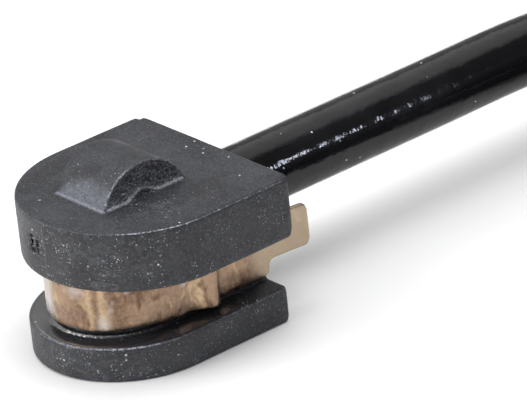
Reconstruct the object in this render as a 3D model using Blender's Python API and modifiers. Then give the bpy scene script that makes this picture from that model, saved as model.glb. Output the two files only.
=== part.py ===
"""Brake pad wear sensor: moulded head with a spring clip, two-core cable, sealed two-way plug.

The head stands on its lower plate. +X is the width, +Y runs along the cable away from the nose and
+Z is up. The origin is on the plate's underside, at the middle of the upper block's round nose.
"""

import math

import bmesh
import bpy
from mathutils import Matrix, Vector

MM = 0.001

# Clearance between pieces that touch, and the distance under which points are one
FIT = 0.3 * MM
WELD = 0.001 * MM
# How far a cutter or a joined solid runs past the face that it meets
PAST = 0.5 * MM

# Upper block of the head
BLOCK_HALF_WIDTH = 8.125 * MM
BLOCK_NOSE = 7.7 * MM
BLOCK_REAR = 7.75 * MM
BLOCK_THICKNESS = 4.45 * MM
BLOCK_CORNER = 0.85 * MM

# Lower plate, and the slot between plate and block that takes the pad's steel backing
PLATE_HALF_WIDTH = 6.92 * MM
PLATE_NOSE = 7.01 * MM
PLATE_NOSE_Y = -1.105 * MM
PLATE_REAR = 7.45 * MM
PLATE_THICKNESS = 2.6 * MM
PLATE_CORNER = 0.55 * MM
SLOT_HEIGHT = 4.22 * MM
EDGE_ROUND = 0.2 * MM
EDGE_SEGMENTS = 2

# Neck that joins plate and block, and the low pedestal at its foot
NECK_RADIUS = 4.35 * MM
NECK_NOSE_Y = -2.05 * MM
NECK_REAR = 7.3 * MM
NECK_CORNER = 0.8 * MM
PEDESTAL_PROUD = 0.35 * MM
PEDESTAL_HEIGHT = 0.1 * MM

# Wear hump on the block, a flat-ended barrel lying across the width
HUMP_HALF_LENGTH = 3.6 * MM
HUMP_HEIGHT = 2.55 * MM
HUMP_WIDTH = 5.3 * MM
HUMP_X = -0.15 * MM
HUMP_Y = -0.6 * MM
HUMP_ROUND = 0.12 * MM

# Hollow in the hump's +X end, and the lip below it, which rises in its middle
SCOOP_DEPTH = 0.95 * MM
SCOOP_HALF_LENGTH = 3.15 * MM
SCOOP_RIM = 0.18 * MM
SCOOP_SILL = 0.12 * MM
SCOOP_PROUD = 0.15 * MM
LIP_RISE = 0.55 * MM
LIP_HALF_WIDTH = 1.5 * MM
LIP_Y = -0.75 * MM

# Spring clip: one bent strip around the neck, with a detent on each leg and a tab at each end
CLIP_THICKNESS = 0.35 * MM
CLIP_FOOT_GAP = 0.3 * MM
CLIP_LEG_SPREAD = 0.15 * MM
DETENT_START_Y = 0.05 * MM
DETENT_PEAK_Y = 1.75 * MM
DETENT_END_Y = 2.3 * MM
DETENT_PROUD = 1.05 * MM
DETENT_BEND = 0.25 * MM
LEG_REAR_GAP = 0.4 * MM
TAB_END_Y = 10.9 * MM
TAB_RISE = 1.1 * MM
TAB_TOP_RISE = 0.75 * MM
TAB_FLARE = 0.3 * MM
TAB_CORNER = 0.45 * MM
TAB_REAR_CLEARANCE = 0.45 * MM

# Cable and the two cores inside it
CABLE_RADIUS = 2.5 * MM
CABLE_Z = 7.9 * MM
CABLE_INSERT = 2.25 * MM
TUBE_STEP_RADII = 3
ROUTE_STEP_RADII = 0.05
CORE_RADIUS = 0.8 * MM
CORE_HALF_PITCH = 1.4 * MM
CORE_IN_HEAD = 2.2 * MM
WIRE_RADIUS = 0.4 * MM
CONDUCTOR_LENGTH = 1.0 * MM
SLEEVE_WALL = 0.25 * MM
SLEEVE_LENGTH = 1.35 * MM
LOOP_BEND = 1.8 * MM
LOOP_HALF_SPAN = 1.0 * MM
LOOP_X = -0.6 * MM
LOOP_TOP_COVER = 0.8 * MM

# Coil of the spare cable, with its middle at COIL_X and COIL_Y
COIL_RADIUS = 29.0 * MM
COIL_PITCH = 5.2 * MM
COIL_Y = 61.0 * MM
TIE_THICKNESS = 0.6 * MM
TIE_WIDTH = 2.6 * MM
TIE_ANGLE = 72.0
TIE_HEAD_WIDTH = 3.8 * MM
TIE_HEAD_LENGTH = 4.6 * MM
TIE_HEAD_DEPTH = 2.6 * MM
TIE_HEAD_ROUND = 0.5 * MM
TIE_END_LENGTH = 4.0 * MM
TIE_END_DROP = 0.6 * MM

# Plug on the cable's far end, lying on the floor and pointing to -Y
PLUG_REAR_Y = 18.0 * MM
PLUG_HALF_WIDTH = 6.2 * MM
PLUG_HEIGHT = 9.2 * MM
PLUG_LENGTH = 13.0 * MM
TOWER_HALF_WIDTH = 4.8 * MM
TOWER_HALF_HEIGHT = 3.0 * MM
TOWER_LENGTH = 8.0 * MM
PLUG_ROUND = 0.45 * MM
JACKET_END_Y = 26.0 * MM
CAVITY_HALF_PITCH = 2.6 * MM
CAVITY_HALF = 1.3 * MM
SEAL_RADIUS = 1.9 * MM
SEAL_LENGTH = 4.4 * MM
SEAL_RIB = 0.5 * MM
SEAL_RIB_COUNT = 3
CORE_STRAIGHT = 1.2 * MM
TERMINAL_HALF = 1.0 * MM
TERMINAL_WALL = 0.28 * MM
TERMINAL_BOX_LENGTH = 7.0 * MM
CRIMP_LENGTH = 5.2 * MM
WINDOW_HALF = 0.7 * MM
WINDOW_WALL = 1.5 * MM
RING_SEAL_WALL = 0.9 * MM
RING_SEAL_LENGTH = 2.2 * MM
LOCK_Y = 8.4 * MM
LOCK_HALF_LENGTH = 1.2 * MM
LOCK_THICKNESS = 1.0 * MM
LOCK_FLANGE = 0.9 * MM
LATCH_HALF_WIDTH = 2.6 * MM
LATCH_THICKNESS = 1.1 * MM
LATCH_GAP = 1.2 * MM
LATCH_ROOT_Y = 9.5 * MM
LATCH_ROOT_HALF = 1.4 * MM
LATCH_INSET = 0.5 * MM
HOOK_HEIGHT = 0.9 * MM
HOOK_TIP = 0.3 * MM
HOOK_FLAT = 0.5 * MM
HOOK_LENGTH = 1.5 * MM
THUMB_PAD_HEIGHT = 0.5 * MM
THUMB_PAD_LENGTH = 2.5 * MM
GRIP_DEPTH = 0.4 * MM
GRIP_COUNT = 4
GRIP_WIDTH = 1.2 * MM
GRIP_PITCH = 2.4 * MM
GRIP_LOW = 0.9 * MM

# Heights and places that follow from the sizes above
PLATE_TOP = PLATE_THICKNESS
BLOCK_BOTTOM = PLATE_TOP + SLOT_HEIGHT
BLOCK_TOP = BLOCK_BOTTOM + BLOCK_THICKNESS
CLIP_INNER = NECK_RADIUS + FIT
CLIP_BOTTOM = PLATE_TOP + PEDESTAL_HEIGHT + CLIP_FOOT_GAP
CLIP_TOP = BLOCK_BOTTOM - FIT
JACKET_START_Y = BLOCK_REAR - CABLE_INSERT
CORE_START_Y = JACKET_START_Y - FIT
CORE_STOP_Y = CORE_START_Y - CORE_IN_HEAD
SLEEVE_START_Y = CORE_STOP_Y - FIT
SLEEVE_BORE = WIRE_RADIUS + FIT
SLEEVE_RADIUS = SLEEVE_BORE + SLEEVE_WALL
LOOP_START_Y = CORE_STOP_Y - FIT - CONDUCTOR_LENGTH - FIT
LOOP_TOP_Z = BLOCK_TOP + HUMP_HEIGHT - LOOP_TOP_COVER - WIRE_RADIUS
COIL_Z = CABLE_RADIUS + FIT + TIE_THICKNESS
COIL_TOP_Z = COIL_Z + math.sqrt((2 * CABLE_RADIUS) ** 2 - (COIL_PITCH / 2) ** 2)
COIL_X = COIL_RADIUS + COIL_PITCH / 2
PLUG_X = COIL_X + COIL_RADIUS
PLUG_AXIS_Z = PLUG_HEIGHT / 2
PLUG_FRONT_Y = PLUG_REAR_Y - PLUG_LENGTH
TOWER_FRONT_Y = PLUG_FRONT_Y - TOWER_LENGTH
SIDES = {"left": -1, "right": 1}

# Route of the cable from the head to the coil and from the coil to the plug, in metres
RUN_ROUTE = [
    (0.0, JACKET_START_Y, CABLE_Z),
    (0.0, 0.0150, CABLE_Z),
    (0.0, 0.0260, CABLE_Z),
    (0.0, 0.0365, CABLE_Z),
    (0.0, 0.0430, 0.00728),
    (0.0, 0.0490, 0.00568),
    (0.0, 0.0553, 0.00405),
    (0.0, COIL_Y, COIL_Z),
]
TAIL_ROUTE = [
    (PLUG_X, COIL_Y, COIL_TOP_Z),
    (PLUG_X, 0.0550, 0.00815),
    (PLUG_X, 0.0500, 0.00848),
    (PLUG_X, 0.0445, 0.00795),
    (PLUG_X, 0.0390, 0.00670),
    (PLUG_X, 0.0330, 0.00520),
    (PLUG_X, JACKET_END_Y, PLUG_AXIS_Z),
]


def clear_scene():
    """Remove every object of the start-up scene."""
    for item in list(bpy.data.objects):
        bpy.data.objects.remove(item)


def new_collection(name):
    """Make a collection and hang it in the scene."""
    group = bpy.data.collections.new(name)
    bpy.context.scene.collection.children.link(group)
    return group


def new_material(name, colour, roughness, metallic=0.0):
    """Make a Principled BSDF material."""
    material = bpy.data.materials.new(name)
    material.use_nodes = True
    shader = material.node_tree.nodes["Principled BSDF"]
    shader.inputs["Base Color"].default_value = (*colour, 1.0)
    shader.inputs["Roughness"].default_value = roughness
    shader.inputs["Metallic"].default_value = metallic
    return material


clear_scene()
PARTS = new_collection("brake_pad_wear_sensor")
CUTTERS = new_collection("cutters")

HOUSING = new_material("glass_filled_nylon", (0.075, 0.077, 0.085), 0.55)
BRONZE = new_material("spring_bronze", (0.66, 0.45, 0.29), 0.34, 1.0)
JACKET = new_material("cable_jacket", (0.012, 0.012, 0.014), 0.28)
CORE_DARK = new_material("core_insulation_brown", (0.11, 0.045, 0.02), 0.45)
CORE_PALE = new_material("core_insulation_yellow", (0.62, 0.45, 0.06), 0.45)
COPPER = new_material("bare_copper", (0.72, 0.35, 0.2), 0.3, 1.0)
TIN = new_material("tinned_brass", (0.62, 0.6, 0.55), 0.3, 1.0)
PLUG_PLASTIC = new_material("plug_plastic", (0.02, 0.02, 0.022), 0.42)
LOCK_PLASTIC = new_material("lock_plastic", (0.5, 0.2, 0.03), 0.4)
SEAL_RUBBER = new_material("seal_rubber", (0.42, 0.09, 0.04), 0.5)
TIE_NYLON = new_material("tie_nylon", (0.03, 0.03, 0.03), 0.38)


def add_mesh(name, mesh, material=None, frame=None):
    """Put a mesh in the scene, as a part when it has a material and as a cutter when it has none."""
    item = bpy.data.objects.new(name, mesh)
    if frame is not None:
        item.matrix_world = frame
    if material is None:
        CUTTERS.objects.link(item)
        item.display_type = "WIRE"
        item.hide_render = True
    else:
        PARTS.objects.link(item)
        mesh.materials.clear()
        mesh.materials.append(material)
    return item


def smooth(item, angle=35.0):
    """Shade smooth, with sharp edges kept."""
    item.data.shade_smooth()
    item.data.set_sharp_from_angle(angle=math.radians(angle))
    return item


def mesh_of_curve(curve, name):
    """Turn a curve's data into one welded mesh, with flat faces left whole."""
    holder = bpy.data.objects.new(name + "_curve", curve)
    CUTTERS.objects.link(holder)
    bpy.context.view_layer.update()
    depsgraph = bpy.context.evaluated_depsgraph_get()
    mesh = bpy.data.meshes.new_from_object(holder.evaluated_get(depsgraph))
    mesh.name = name
    bpy.data.objects.remove(holder)
    bm = bmesh.new()
    bm.from_mesh(mesh)
    bmesh.ops.remove_doubles(bm, verts=bm.verts, dist=WELD)
    bmesh.ops.dissolve_limit(bm, angle_limit=math.radians(0.2), verts=bm.verts, edges=bm.edges)
    bmesh.ops.recalc_face_normals(bm, faces=bm.faces)
    bm.to_mesh(mesh)
    bm.free()
    return mesh


def prism(name, outlines, low, high, material=None, frame=None):
    """Extrude flat outlines between two heights; a second outline inside the first is a hole."""
    curve = bpy.data.curves.new(name, "CURVE")
    curve.dimensions = "2D"
    curve.fill_mode = "BOTH"
    curve.extrude = (high - low) / 2
    for outline in outlines:
        spline = curve.splines.new("POLY")
        spline.points.add(len(outline) - 1)
        for point, (x, y) in zip(spline.points, outline):
            point.co = (x, y, 0.0, 1.0)
        spline.use_cyclic_u = True
    place = Matrix.Translation((0, 0, (low + high) / 2))
    mesh = mesh_of_curve(curve, name)
    mesh.transform(place)
    return add_mesh(name, mesh, material, frame)


def box(name, low, high, material=None):
    """Make a box from its lowest and highest corner."""
    bm = bmesh.new()
    bmesh.ops.create_cube(bm, size=1.0)
    size = [b - a for a, b in zip(low, high)]
    middle = [(a + b) / 2 for a, b in zip(low, high)]
    bmesh.ops.scale(bm, vec=size, verts=bm.verts)
    bmesh.ops.translate(bm, vec=middle, verts=bm.verts)
    mesh = bpy.data.meshes.new(name)
    bm.to_mesh(mesh)
    bm.free()
    return add_mesh(name, mesh, material)


def rod(name, x, z, y_from, y_to, radius, material=None, segments=24):
    """Make a round rod along Y."""
    bm = bmesh.new()
    bmesh.ops.create_cone(bm, cap_ends=True, segments=segments, radius1=radius, radius2=radius,
                          depth=abs(y_to - y_from))
    mesh = bpy.data.meshes.new(name)
    bm.to_mesh(mesh)
    bm.free()
    mesh.transform(Matrix.Translation((x, (y_from + y_to) / 2, z)) @ Matrix.Rotation(math.pi / 2, 4, "X"))
    item = add_mesh(name, mesh, material)
    return smooth(item)


def tube(name, points, radius, material=None, bevel_resolution=3):
    """Sweep a round section along points, with filled ends."""
    curve = bpy.data.curves.new(name, "CURVE")
    curve.dimensions = "3D"
    curve.bevel_depth = radius
    curve.bevel_resolution = bevel_resolution
    curve.use_fill_caps = True
    curve.render_resolution_u = 0
    spline = curve.splines.new("POLY")
    spline.points.add(len(points) - 1)
    for point, place in zip(spline.points, points):
        point.co = (*place, 1.0)
    item = bpy.data.objects.new(name, curve)
    if material is None:
        bpy.data.objects.remove(item)
        return add_mesh(name, mesh_of_curve(curve, name))
    curve.materials.append(material)
    PARTS.objects.link(item)
    return item


def turned(name, profile, steps, frame, material):
    """Turn a closed profile of (radius, height) about its own Z axis."""
    bm = bmesh.new()
    corners = [bm.verts.new((radius, 0.0, height)) for radius, height in profile]
    for first, second in zip(corners, corners[1:] + corners[:1]):
        bm.edges.new((first, second))
    mesh = bpy.data.meshes.new(name)
    bm.to_mesh(mesh)
    bm.free()
    item = add_mesh(name, mesh, material, frame)
    screw = item.modifiers.new("turn", "SCREW")
    screw.steps = steps
    screw.render_steps = steps
    screw.use_merge_vertices = True
    screw.merge_threshold = WELD
    screw.use_smooth_shade = True
    return item


def combine(item, other, operation):
    """Join another solid to an item, or cut it away."""
    modifier = item.modifiers.new(other.name, "BOOLEAN")
    modifier.operation = operation
    modifier.solver = "EXACT"
    modifier.object = other


def round_edges(item, width, segments=EDGE_SEGMENTS, angle=40.0):
    """Round the edges sharper than an angle."""
    modifier = item.modifiers.new("round", "BEVEL")
    modifier.width = width
    modifier.segments = segments
    modifier.limit_method = "ANGLE"
    modifier.angle_limit = math.radians(angle)
    modifier.use_clamp_overlap = True


def arc(centre, radius, start, stop, steps):
    """Points of an arc; radius may be a pair for an ellipse, angles are in degrees."""
    across, along = radius if isinstance(radius, tuple) else (radius, radius)
    points = []
    for i in range(steps + 1):
        angle = math.radians(start + (stop - start) * i / steps)
        points.append((centre[0] + across * math.cos(angle), centre[1] + along * math.sin(angle)))
    return points


def d_outline(half_width, nose, nose_y, rear, corner, steps=56, corner_steps=6):
    """Plan of a D: elliptical nose towards -Y, straight sides, two rounded rear corners."""
    inset = half_width - corner
    outline = arc((0.0, nose_y), (half_width, nose), 180.0, 360.0, steps)
    outline += arc((inset, rear - corner), corner, 0.0, 90.0, corner_steps)
    outline += arc((-inset, rear - corner), corner, 90.0, 180.0, corner_steps)
    return outline


def hull_outline(centres, radius, arc_steps=6):
    """Outline around equal circles whose centres are listed counter-clockwise."""
    outline = []
    count = len(centres)
    for i, centre in enumerate(centres):
        before = Vector(centre) - Vector(centres[i - 1])
        after = Vector(centres[(i + 1) % count]) - Vector(centre)
        start = math.degrees(math.atan2(-before.x, before.y))
        stop = math.degrees(math.atan2(-after.x, after.y))
        while stop < start:
            stop += 360.0
        outline += arc(centre, radius, start, stop, arc_steps)
    return outline


def rounded_box_outline(half_width, half_height, corner, centre=(0.0, 0.0), steps=4):
    """Outline of a rectangle with rounded corners."""
    outline = []
    for sx, sy, start in ((1, 1, 0.0), (-1, 1, 90.0), (-1, -1, 180.0), (1, -1, 270.0)):
        corner_centre = (centre[0] + sx * (half_width - corner), centre[1] + sy * (half_height - corner))
        outline += arc(corner_centre, corner, start, start + 90.0, steps)
    return outline


def smooth_route(points, spacing):
    """Read points at an even spacing from a Catmull-Rom curve through the route's points."""
    knots = [Vector(p) for p in points]
    knots = [2 * knots[0] - knots[1]] + knots + [2 * knots[-1] - knots[-2]]
    fine = []
    pieces = 24
    for a, b, c, d in zip(knots, knots[1:], knots[2:], knots[3:]):
        for i in range(pieces):
            t = i / pieces
            fine.append(0.5 * (2 * b + (c - a) * t + (2 * a - 5 * b + 4 * c - d) * t * t
                               + (3 * b - a - 3 * c + d) * t ** 3))
    fine.append(knots[-2])
    travelled = [0.0]
    for first, second in zip(fine, fine[1:]):
        travelled.append(travelled[-1] + (second - first).length)
    count = max(2, round(travelled[-1] / spacing))
    even = []
    j = 0
    for i in range(count + 1):
        target = travelled[-1] * i / count
        while j < len(fine) - 2 and travelled[j + 1] < target:
            j += 1
        share = (target - travelled[j]) / (travelled[j + 1] - travelled[j])
        even.append(fine[j].lerp(fine[j + 1], share))
    return even


# Planes in which outlines are drawn: u, v and the extrusion run along these world axes
ACROSS = Matrix(((0, 0, 1, 0), (1, 0, 0, 0), (0, 1, 0, 0), (0, 0, 0, 1)))
ALONG = Matrix(((1, 0, 0, 0), (0, 0, -1, 0), (0, 1, 0, 0), (0, 0, 0, 1)))


def wire_loop_route():
    """Bare wire: in along the left core, up, over under the hump's crest, and back to the right."""
    steps = 6
    bend = arc((HUMP_Y + LOOP_BEND, CABLE_Z + LOOP_BEND), LOOP_BEND, 270.0, 180.0, steps)
    legs = []
    for sign in (-1, 1):
        core_x = sign * CORE_HALF_PITCH
        leg_x = LOOP_X + sign * LOOP_HALF_SPAN
        leg = [(core_x, LOOP_START_Y, CABLE_Z)]
        for i, (y, z) in enumerate(bend):
            share = i / steps
            leg.append((core_x + (leg_x - core_x) * share * share * (3 - 2 * share), y, z))
        legs.append(leg)
    crest = [(LOOP_X + u, HUMP_Y, z) for u, z in arc((0.0, LOOP_TOP_Z - LOOP_HALF_SPAN), LOOP_HALF_SPAN,
                                                     180.0, 0.0, 10)]
    return legs[0] + crest + legs[1][::-1]


def make_hump():
    """The barrel on the block, with its bottom sunk in the block."""
    radius = (HUMP_HALF_LENGTH ** 2 + HUMP_HEIGHT ** 2) / (2 * HUMP_HEIGHT)
    centre_z = BLOCK_TOP + HUMP_HEIGHT - radius
    foot = math.degrees(math.asin((BLOCK_TOP - centre_z) / radius))
    outline = arc((HUMP_Y, centre_z), radius, foot, 180.0 - foot, 32)
    outline += [(HUMP_Y - HUMP_HALF_LENGTH, BLOCK_TOP - PAST), (HUMP_Y + HUMP_HALF_LENGTH, BLOCK_TOP - PAST)]
    hump = prism("hump", [outline], HUMP_X - HUMP_WIDTH / 2, HUMP_X + HUMP_WIDTH / 2, None, ACROSS)
    round_edges(hump, HUMP_ROUND)
    return hump


def lip_height(y):
    """Height of the lip under the hollow, above the block."""
    share = (y - LIP_Y) / LIP_HALF_WIDTH
    rise = LIP_RISE * (1 - share * share) ** 2 if abs(share) < 1 else 0.0
    return SCOOP_SILL + rise


def make_scoop():
    """Cutter for the hollow in the hump's +X end: half an egg, cut off below along the lip."""
    rows = 36
    columns = 10
    end_angle = 84.0
    height = HUMP_HEIGHT - SCOOP_RIM - SCOOP_SILL
    front_x = HUMP_X + HUMP_WIDTH / 2 + SCOOP_PROUD
    bm = bmesh.new()
    loops = []
    for i in range(rows + 1):
        turn = math.radians(end_angle * (2 * i / rows - 1))
        y = HUMP_Y + SCOOP_HALF_LENGTH * math.sin(turn)
        reach = math.cos(turn)
        floor = lip_height(y)
        low = math.asin((floor - SCOOP_SILL) / (height * reach))
        loop = [bm.verts.new((front_x, y, BLOCK_TOP + floor))]
        for j in range(columns + 1):
            angle = low + (math.pi / 2 - low) * j / columns
            x = front_x - (SCOOP_DEPTH + SCOOP_PROUD) * reach * math.cos(angle)
            loop.append(bm.verts.new((x, y, BLOCK_TOP + SCOOP_SILL + height * reach * math.sin(angle))))
        loops.append(loop)
    for first, second in zip(loops, loops[1:]):
        for j, corner in enumerate(first):
            bm.faces.new((first[j - 1], corner, second[j], second[j - 1]))
    bm.faces.new(loops[0])
    bm.faces.new(loops[-1])
    bmesh.ops.recalc_face_normals(bm, faces=bm.faces)
    mesh = bpy.data.meshes.new("scoop")
    bm.to_mesh(mesh)
    bm.free()
    return add_mesh("scoop", mesh)


def make_head():
    """The head's one moulding: block, neck, plate and hump, bored for the cable and its wires."""
    block = d_outline(BLOCK_HALF_WIDTH, BLOCK_NOSE, 0.0, BLOCK_REAR, BLOCK_CORNER)
    head = prism("head_housing", [block], BLOCK_BOTTOM, BLOCK_TOP, HOUSING)
    round_edges(head, EDGE_ROUND)
    plate_plan = d_outline(PLATE_HALF_WIDTH, PLATE_NOSE, PLATE_NOSE_Y, PLATE_REAR, PLATE_CORNER)
    plate = prism("lower_plate", [plate_plan], 0.0, PLATE_TOP)
    round_edges(plate, EDGE_ROUND)
    neck_plan = d_outline(NECK_RADIUS, NECK_RADIUS, NECK_NOSE_Y, NECK_REAR, NECK_CORNER, 40)
    neck = prism("neck", [neck_plan], PLATE_TOP - PAST, BLOCK_BOTTOM + PAST)
    foot_radius = NECK_RADIUS + PEDESTAL_PROUD
    foot_rear = min(NECK_REAR, PLATE_REAR) - NECK_CORNER
    foot_plan = d_outline(foot_radius, foot_radius, NECK_NOSE_Y, foot_rear, NECK_CORNER, 40)
    pedestal = prism("pedestal", [foot_plan], PLATE_TOP - PAST, PLATE_TOP + PEDESTAL_HEIGHT)
    for solid in (neck, pedestal, plate, make_hump()):
        combine(head, solid, "UNION")
    combine(head, make_scoop(), "DIFFERENCE")

    bore_end = CORE_START_Y
    combine(head, rod("cable_bore", 0.0, CABLE_Z, bore_end, BLOCK_REAR + PAST, CABLE_RADIUS + FIT,
                      segments=40), "DIFFERENCE")
    channel_radius = SLEEVE_RADIUS + FIT
    channel_end = SLEEVE_START_Y - SLEEVE_LENGTH - FIT
    for side, sign in SIDES.items():
        channel = rod("channel_" + side, sign * CORE_HALF_PITCH, CABLE_Z, channel_end, bore_end + PAST,
                      channel_radius, segments=20)
        combine(head, channel, "DIFFERENCE")
    combine(head, tube("loop_channel", wire_loop_route(), WIRE_RADIUS + FIT, None, 2), "DIFFERENCE")
    smooth(head)
    return head


def bent(points, reach, steps=4):
    """Round the corners of a flat path, each over a reach to both sides."""
    corners = [Vector(p) for p in points]
    path = [points[0]]
    for before, corner, after in zip(corners, corners[1:], corners[2:]):
        start = corner + (before - corner).normalized() * reach
        stop = corner + (after - corner).normalized() * reach
        for i in range(steps + 1):
            t = i / steps
            place = start * (1 - t) ** 2 + corner * (2 * t * (1 - t)) + stop * t * t
            path.append((place.x, place.y))
    return path + [points[-1]]


def clip_path():
    """Right half of the strip's inner face in plan, from the middle of the nose to the tab's end."""
    leg_x = CLIP_INNER + CLIP_LEG_SPREAD
    leg_end = BLOCK_REAR - LEG_REAR_GAP
    tab_start = BLOCK_REAR + TAB_REAR_CLEARANCE
    nose = arc((0.0, NECK_NOSE_Y), CLIP_INNER, -90.0, 0.0, 22)
    detent = [
        (leg_x, (NECK_NOSE_Y + DETENT_START_Y) / 2),
        (leg_x, DETENT_START_Y),
        (leg_x + DETENT_PROUD, DETENT_PEAK_Y),
        (leg_x, DETENT_END_Y),
        (leg_x, (DETENT_END_Y + leg_end) / 2),
    ]
    tab_steps = 4
    tab = []
    for i in range(tab_steps + 1):
        share = i / tab_steps
        tab.append((leg_x + TAB_FLARE * share, tab_start + (TAB_END_Y - tab_start) * share))
    path = nose[:-1] + bent(detent, DETENT_BEND) + [(leg_x, leg_end)] + tab
    return path, leg_end, tab_start


def make_clip():
    """The bronze strip: an open wall over its plan, given its thickness and mirrored."""
    path, leg_end, tab_start = clip_path()
    levels = [CLIP_BOTTOM, CLIP_BOTTOM + TAB_RISE, CLIP_TOP, CLIP_TOP + TAB_TOP_RISE]
    bm = bmesh.new()
    grid = [[bm.verts.new((x, y, z)) for z in levels] for x, y in path]
    for i, (first, second) in enumerate(zip(grid, grid[1:])):
        middle_y = (path[i][1] + path[i + 1][1]) / 2
        rows = [1]
        if middle_y < leg_end:
            rows.append(0)
        if middle_y > tab_start:
            rows.append(2)
        for row in rows:
            bm.faces.new((first[row], second[row], second[row + 1], first[row + 1]))
    bmesh.ops.delete(bm, geom=[v for v in bm.verts if not v.link_faces], context="VERTS")
    corners = []
    for v in bm.verts:
        outer = v.is_boundary and len(v.link_edges) == 2 and v.co.y > leg_end - WELD
        if outer:
            corners.append(v)
    bmesh.ops.bevel(bm, geom=corners, offset=TAB_CORNER, segments=4, profile=0.5, affect="VERTICES")
    mesh = bpy.data.meshes.new("spring_clip")
    bm.to_mesh(mesh)
    bm.free()
    clip = add_mesh("spring_clip", mesh, BRONZE)
    mirror = clip.modifiers.new("mirror", "MIRROR")
    mirror.use_axis = (True, False, False)
    mirror.use_mirror_merge = True
    mirror.merge_threshold = WELD
    thicken = clip.modifiers.new("thickness", "SOLIDIFY")
    thicken.thickness = CLIP_THICKNESS
    thicken.offset = 1.0
    thicken.use_even_offset = True
    smooth(clip)
    return clip


def make_head_wires():
    """Cores, conductors, splice sleeves and the wear loop inside the head."""
    insulation = {"left": CORE_DARK, "right": CORE_PALE}
    for side, sign in SIDES.items():
        x = sign * CORE_HALF_PITCH
        rod("head_core_" + side, x, CABLE_Z, CORE_STOP_Y, CORE_START_Y, CORE_RADIUS, insulation[side])
        wire_start = CORE_STOP_Y - FIT
        rod("head_conductor_" + side, x, CABLE_Z, wire_start - CONDUCTOR_LENGTH, wire_start, WIRE_RADIUS,
            COPPER, 12)
        profile = [(SLEEVE_RADIUS, SLEEVE_LENGTH), (SLEEVE_RADIUS, 0.0), (SLEEVE_BORE, 0.0),
                   (SLEEVE_BORE, SLEEVE_LENGTH)]
        place = Matrix.Translation((x, SLEEVE_START_Y, CABLE_Z)) @ Matrix.Rotation(math.pi / 2, 4, "X")
        turned("splice_sleeve_" + side, profile, 20, place, TIN)
    tube("wear_loop", wire_loop_route(), WIRE_RADIUS, COPPER, 2)


def turn_centres():
    """Centres of the three turns in the coil's section, with u measured from the coil's mean radius."""
    return [(-COIL_PITCH / 2, COIL_Z), (COIL_PITCH / 2, COIL_Z), (0.0, COIL_TOP_Z)]


def coil_section(offset):
    """Outline around the three turns' sections."""
    return hull_outline(turn_centres(), CABLE_RADIUS + offset)


def coil_distance(point):
    """Distance of a point outside the coil from the triangle between its turns' centres."""
    u = math.hypot(point.x - COIL_X, point.y - COIL_Y) - COIL_RADIUS
    place = Vector((u, point.z))
    corners = [Vector(c) for c in turn_centres()]
    nearest = []
    for first, second in zip(corners, corners[1:] + corners[:1]):
        edge = second - first
        share = max(0.0, min(1.0, (place - first).dot(edge) / edge.length_squared))
        nearest.append((place - first - edge * share).length)
    return min(nearest)


def make_cable():
    """The cable: a straight run, the coil of the spare length and the tail to the plug."""
    clear = 2 * CABLE_RADIUS + FIT
    for name, route in (("cable_run", RUN_ROUTE), ("cable_tail", TAIL_ROUTE)):
        free = [p for p in smooth_route(route, ROUTE_STEP_RADII * CABLE_RADIUS) if coil_distance(p) > clear]
        tube(name, smooth_route(free, TUBE_STEP_RADII * CABLE_RADIUS), CABLE_RADIUS, JACKET, 4)
    section = [(COIL_RADIUS + u, z) for u, z in reversed(coil_section(0.0))]
    turned("cable_coil", section, 72, Matrix.Translation((COIL_X, COIL_Y, 0.0)), JACKET)


def make_tie():
    """The tie around the coil: a closed strap, its head and the cut end that stands out of it."""
    turn = math.radians(TIE_ANGLE)
    outward = Vector((math.cos(turn), math.sin(turn), 0.0))
    centre = Vector((COIL_X, COIL_Y, 0.0)) + outward * COIL_RADIUS
    frame = Matrix.Translation(centre) @ Matrix.Rotation(turn, 4, "Z") @ ALONG
    outer = coil_section(FIT + TIE_THICKNESS)
    inner = coil_section(FIT)
    tie = prism("coil_tie", [outer, inner], -TIE_WIDTH / 2, TIE_WIDTH / 2, TIE_NYLON, frame)
    seat = COIL_TOP_Z + CABLE_RADIUS + FIT + TIE_THICKNESS / 2
    middle = seat + TIE_HEAD_DEPTH / 2
    head_plan = rounded_box_outline(TIE_HEAD_WIDTH / 2, TIE_HEAD_DEPTH / 2, TIE_HEAD_ROUND, (0.0, middle))
    head = prism("tie_head", [head_plan], -TIE_HEAD_LENGTH / 2, TIE_HEAD_LENGTH / 2, None, frame)
    end_x = TIE_HEAD_WIDTH / 2 + TIE_END_LENGTH
    end_z = middle - TIE_END_DROP
    strap = [(0.0, middle - TIE_THICKNESS / 2), (end_x, end_z - TIE_THICKNESS / 2),
             (end_x, end_z + TIE_THICKNESS / 2), (0.0, middle + TIE_THICKNESS / 2)]
    end = prism("tie_end", [strap], FIT - TIE_WIDTH / 2, TIE_WIDTH / 2 - FIT, None, frame)
    combine(tie, head, "UNION")
    combine(tie, end, "UNION")
    return tie


def plug_box(name, half_width, z_low, z_high, y_from, y_to, material=None, x=0.0):
    """Box on the plug, placed from the plug's middle line."""
    low = (PLUG_X + x - half_width, min(y_from, y_to), z_low)
    high = (PLUG_X + x + half_width, max(y_from, y_to), z_high)
    return box(name, low, high, material)


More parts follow.
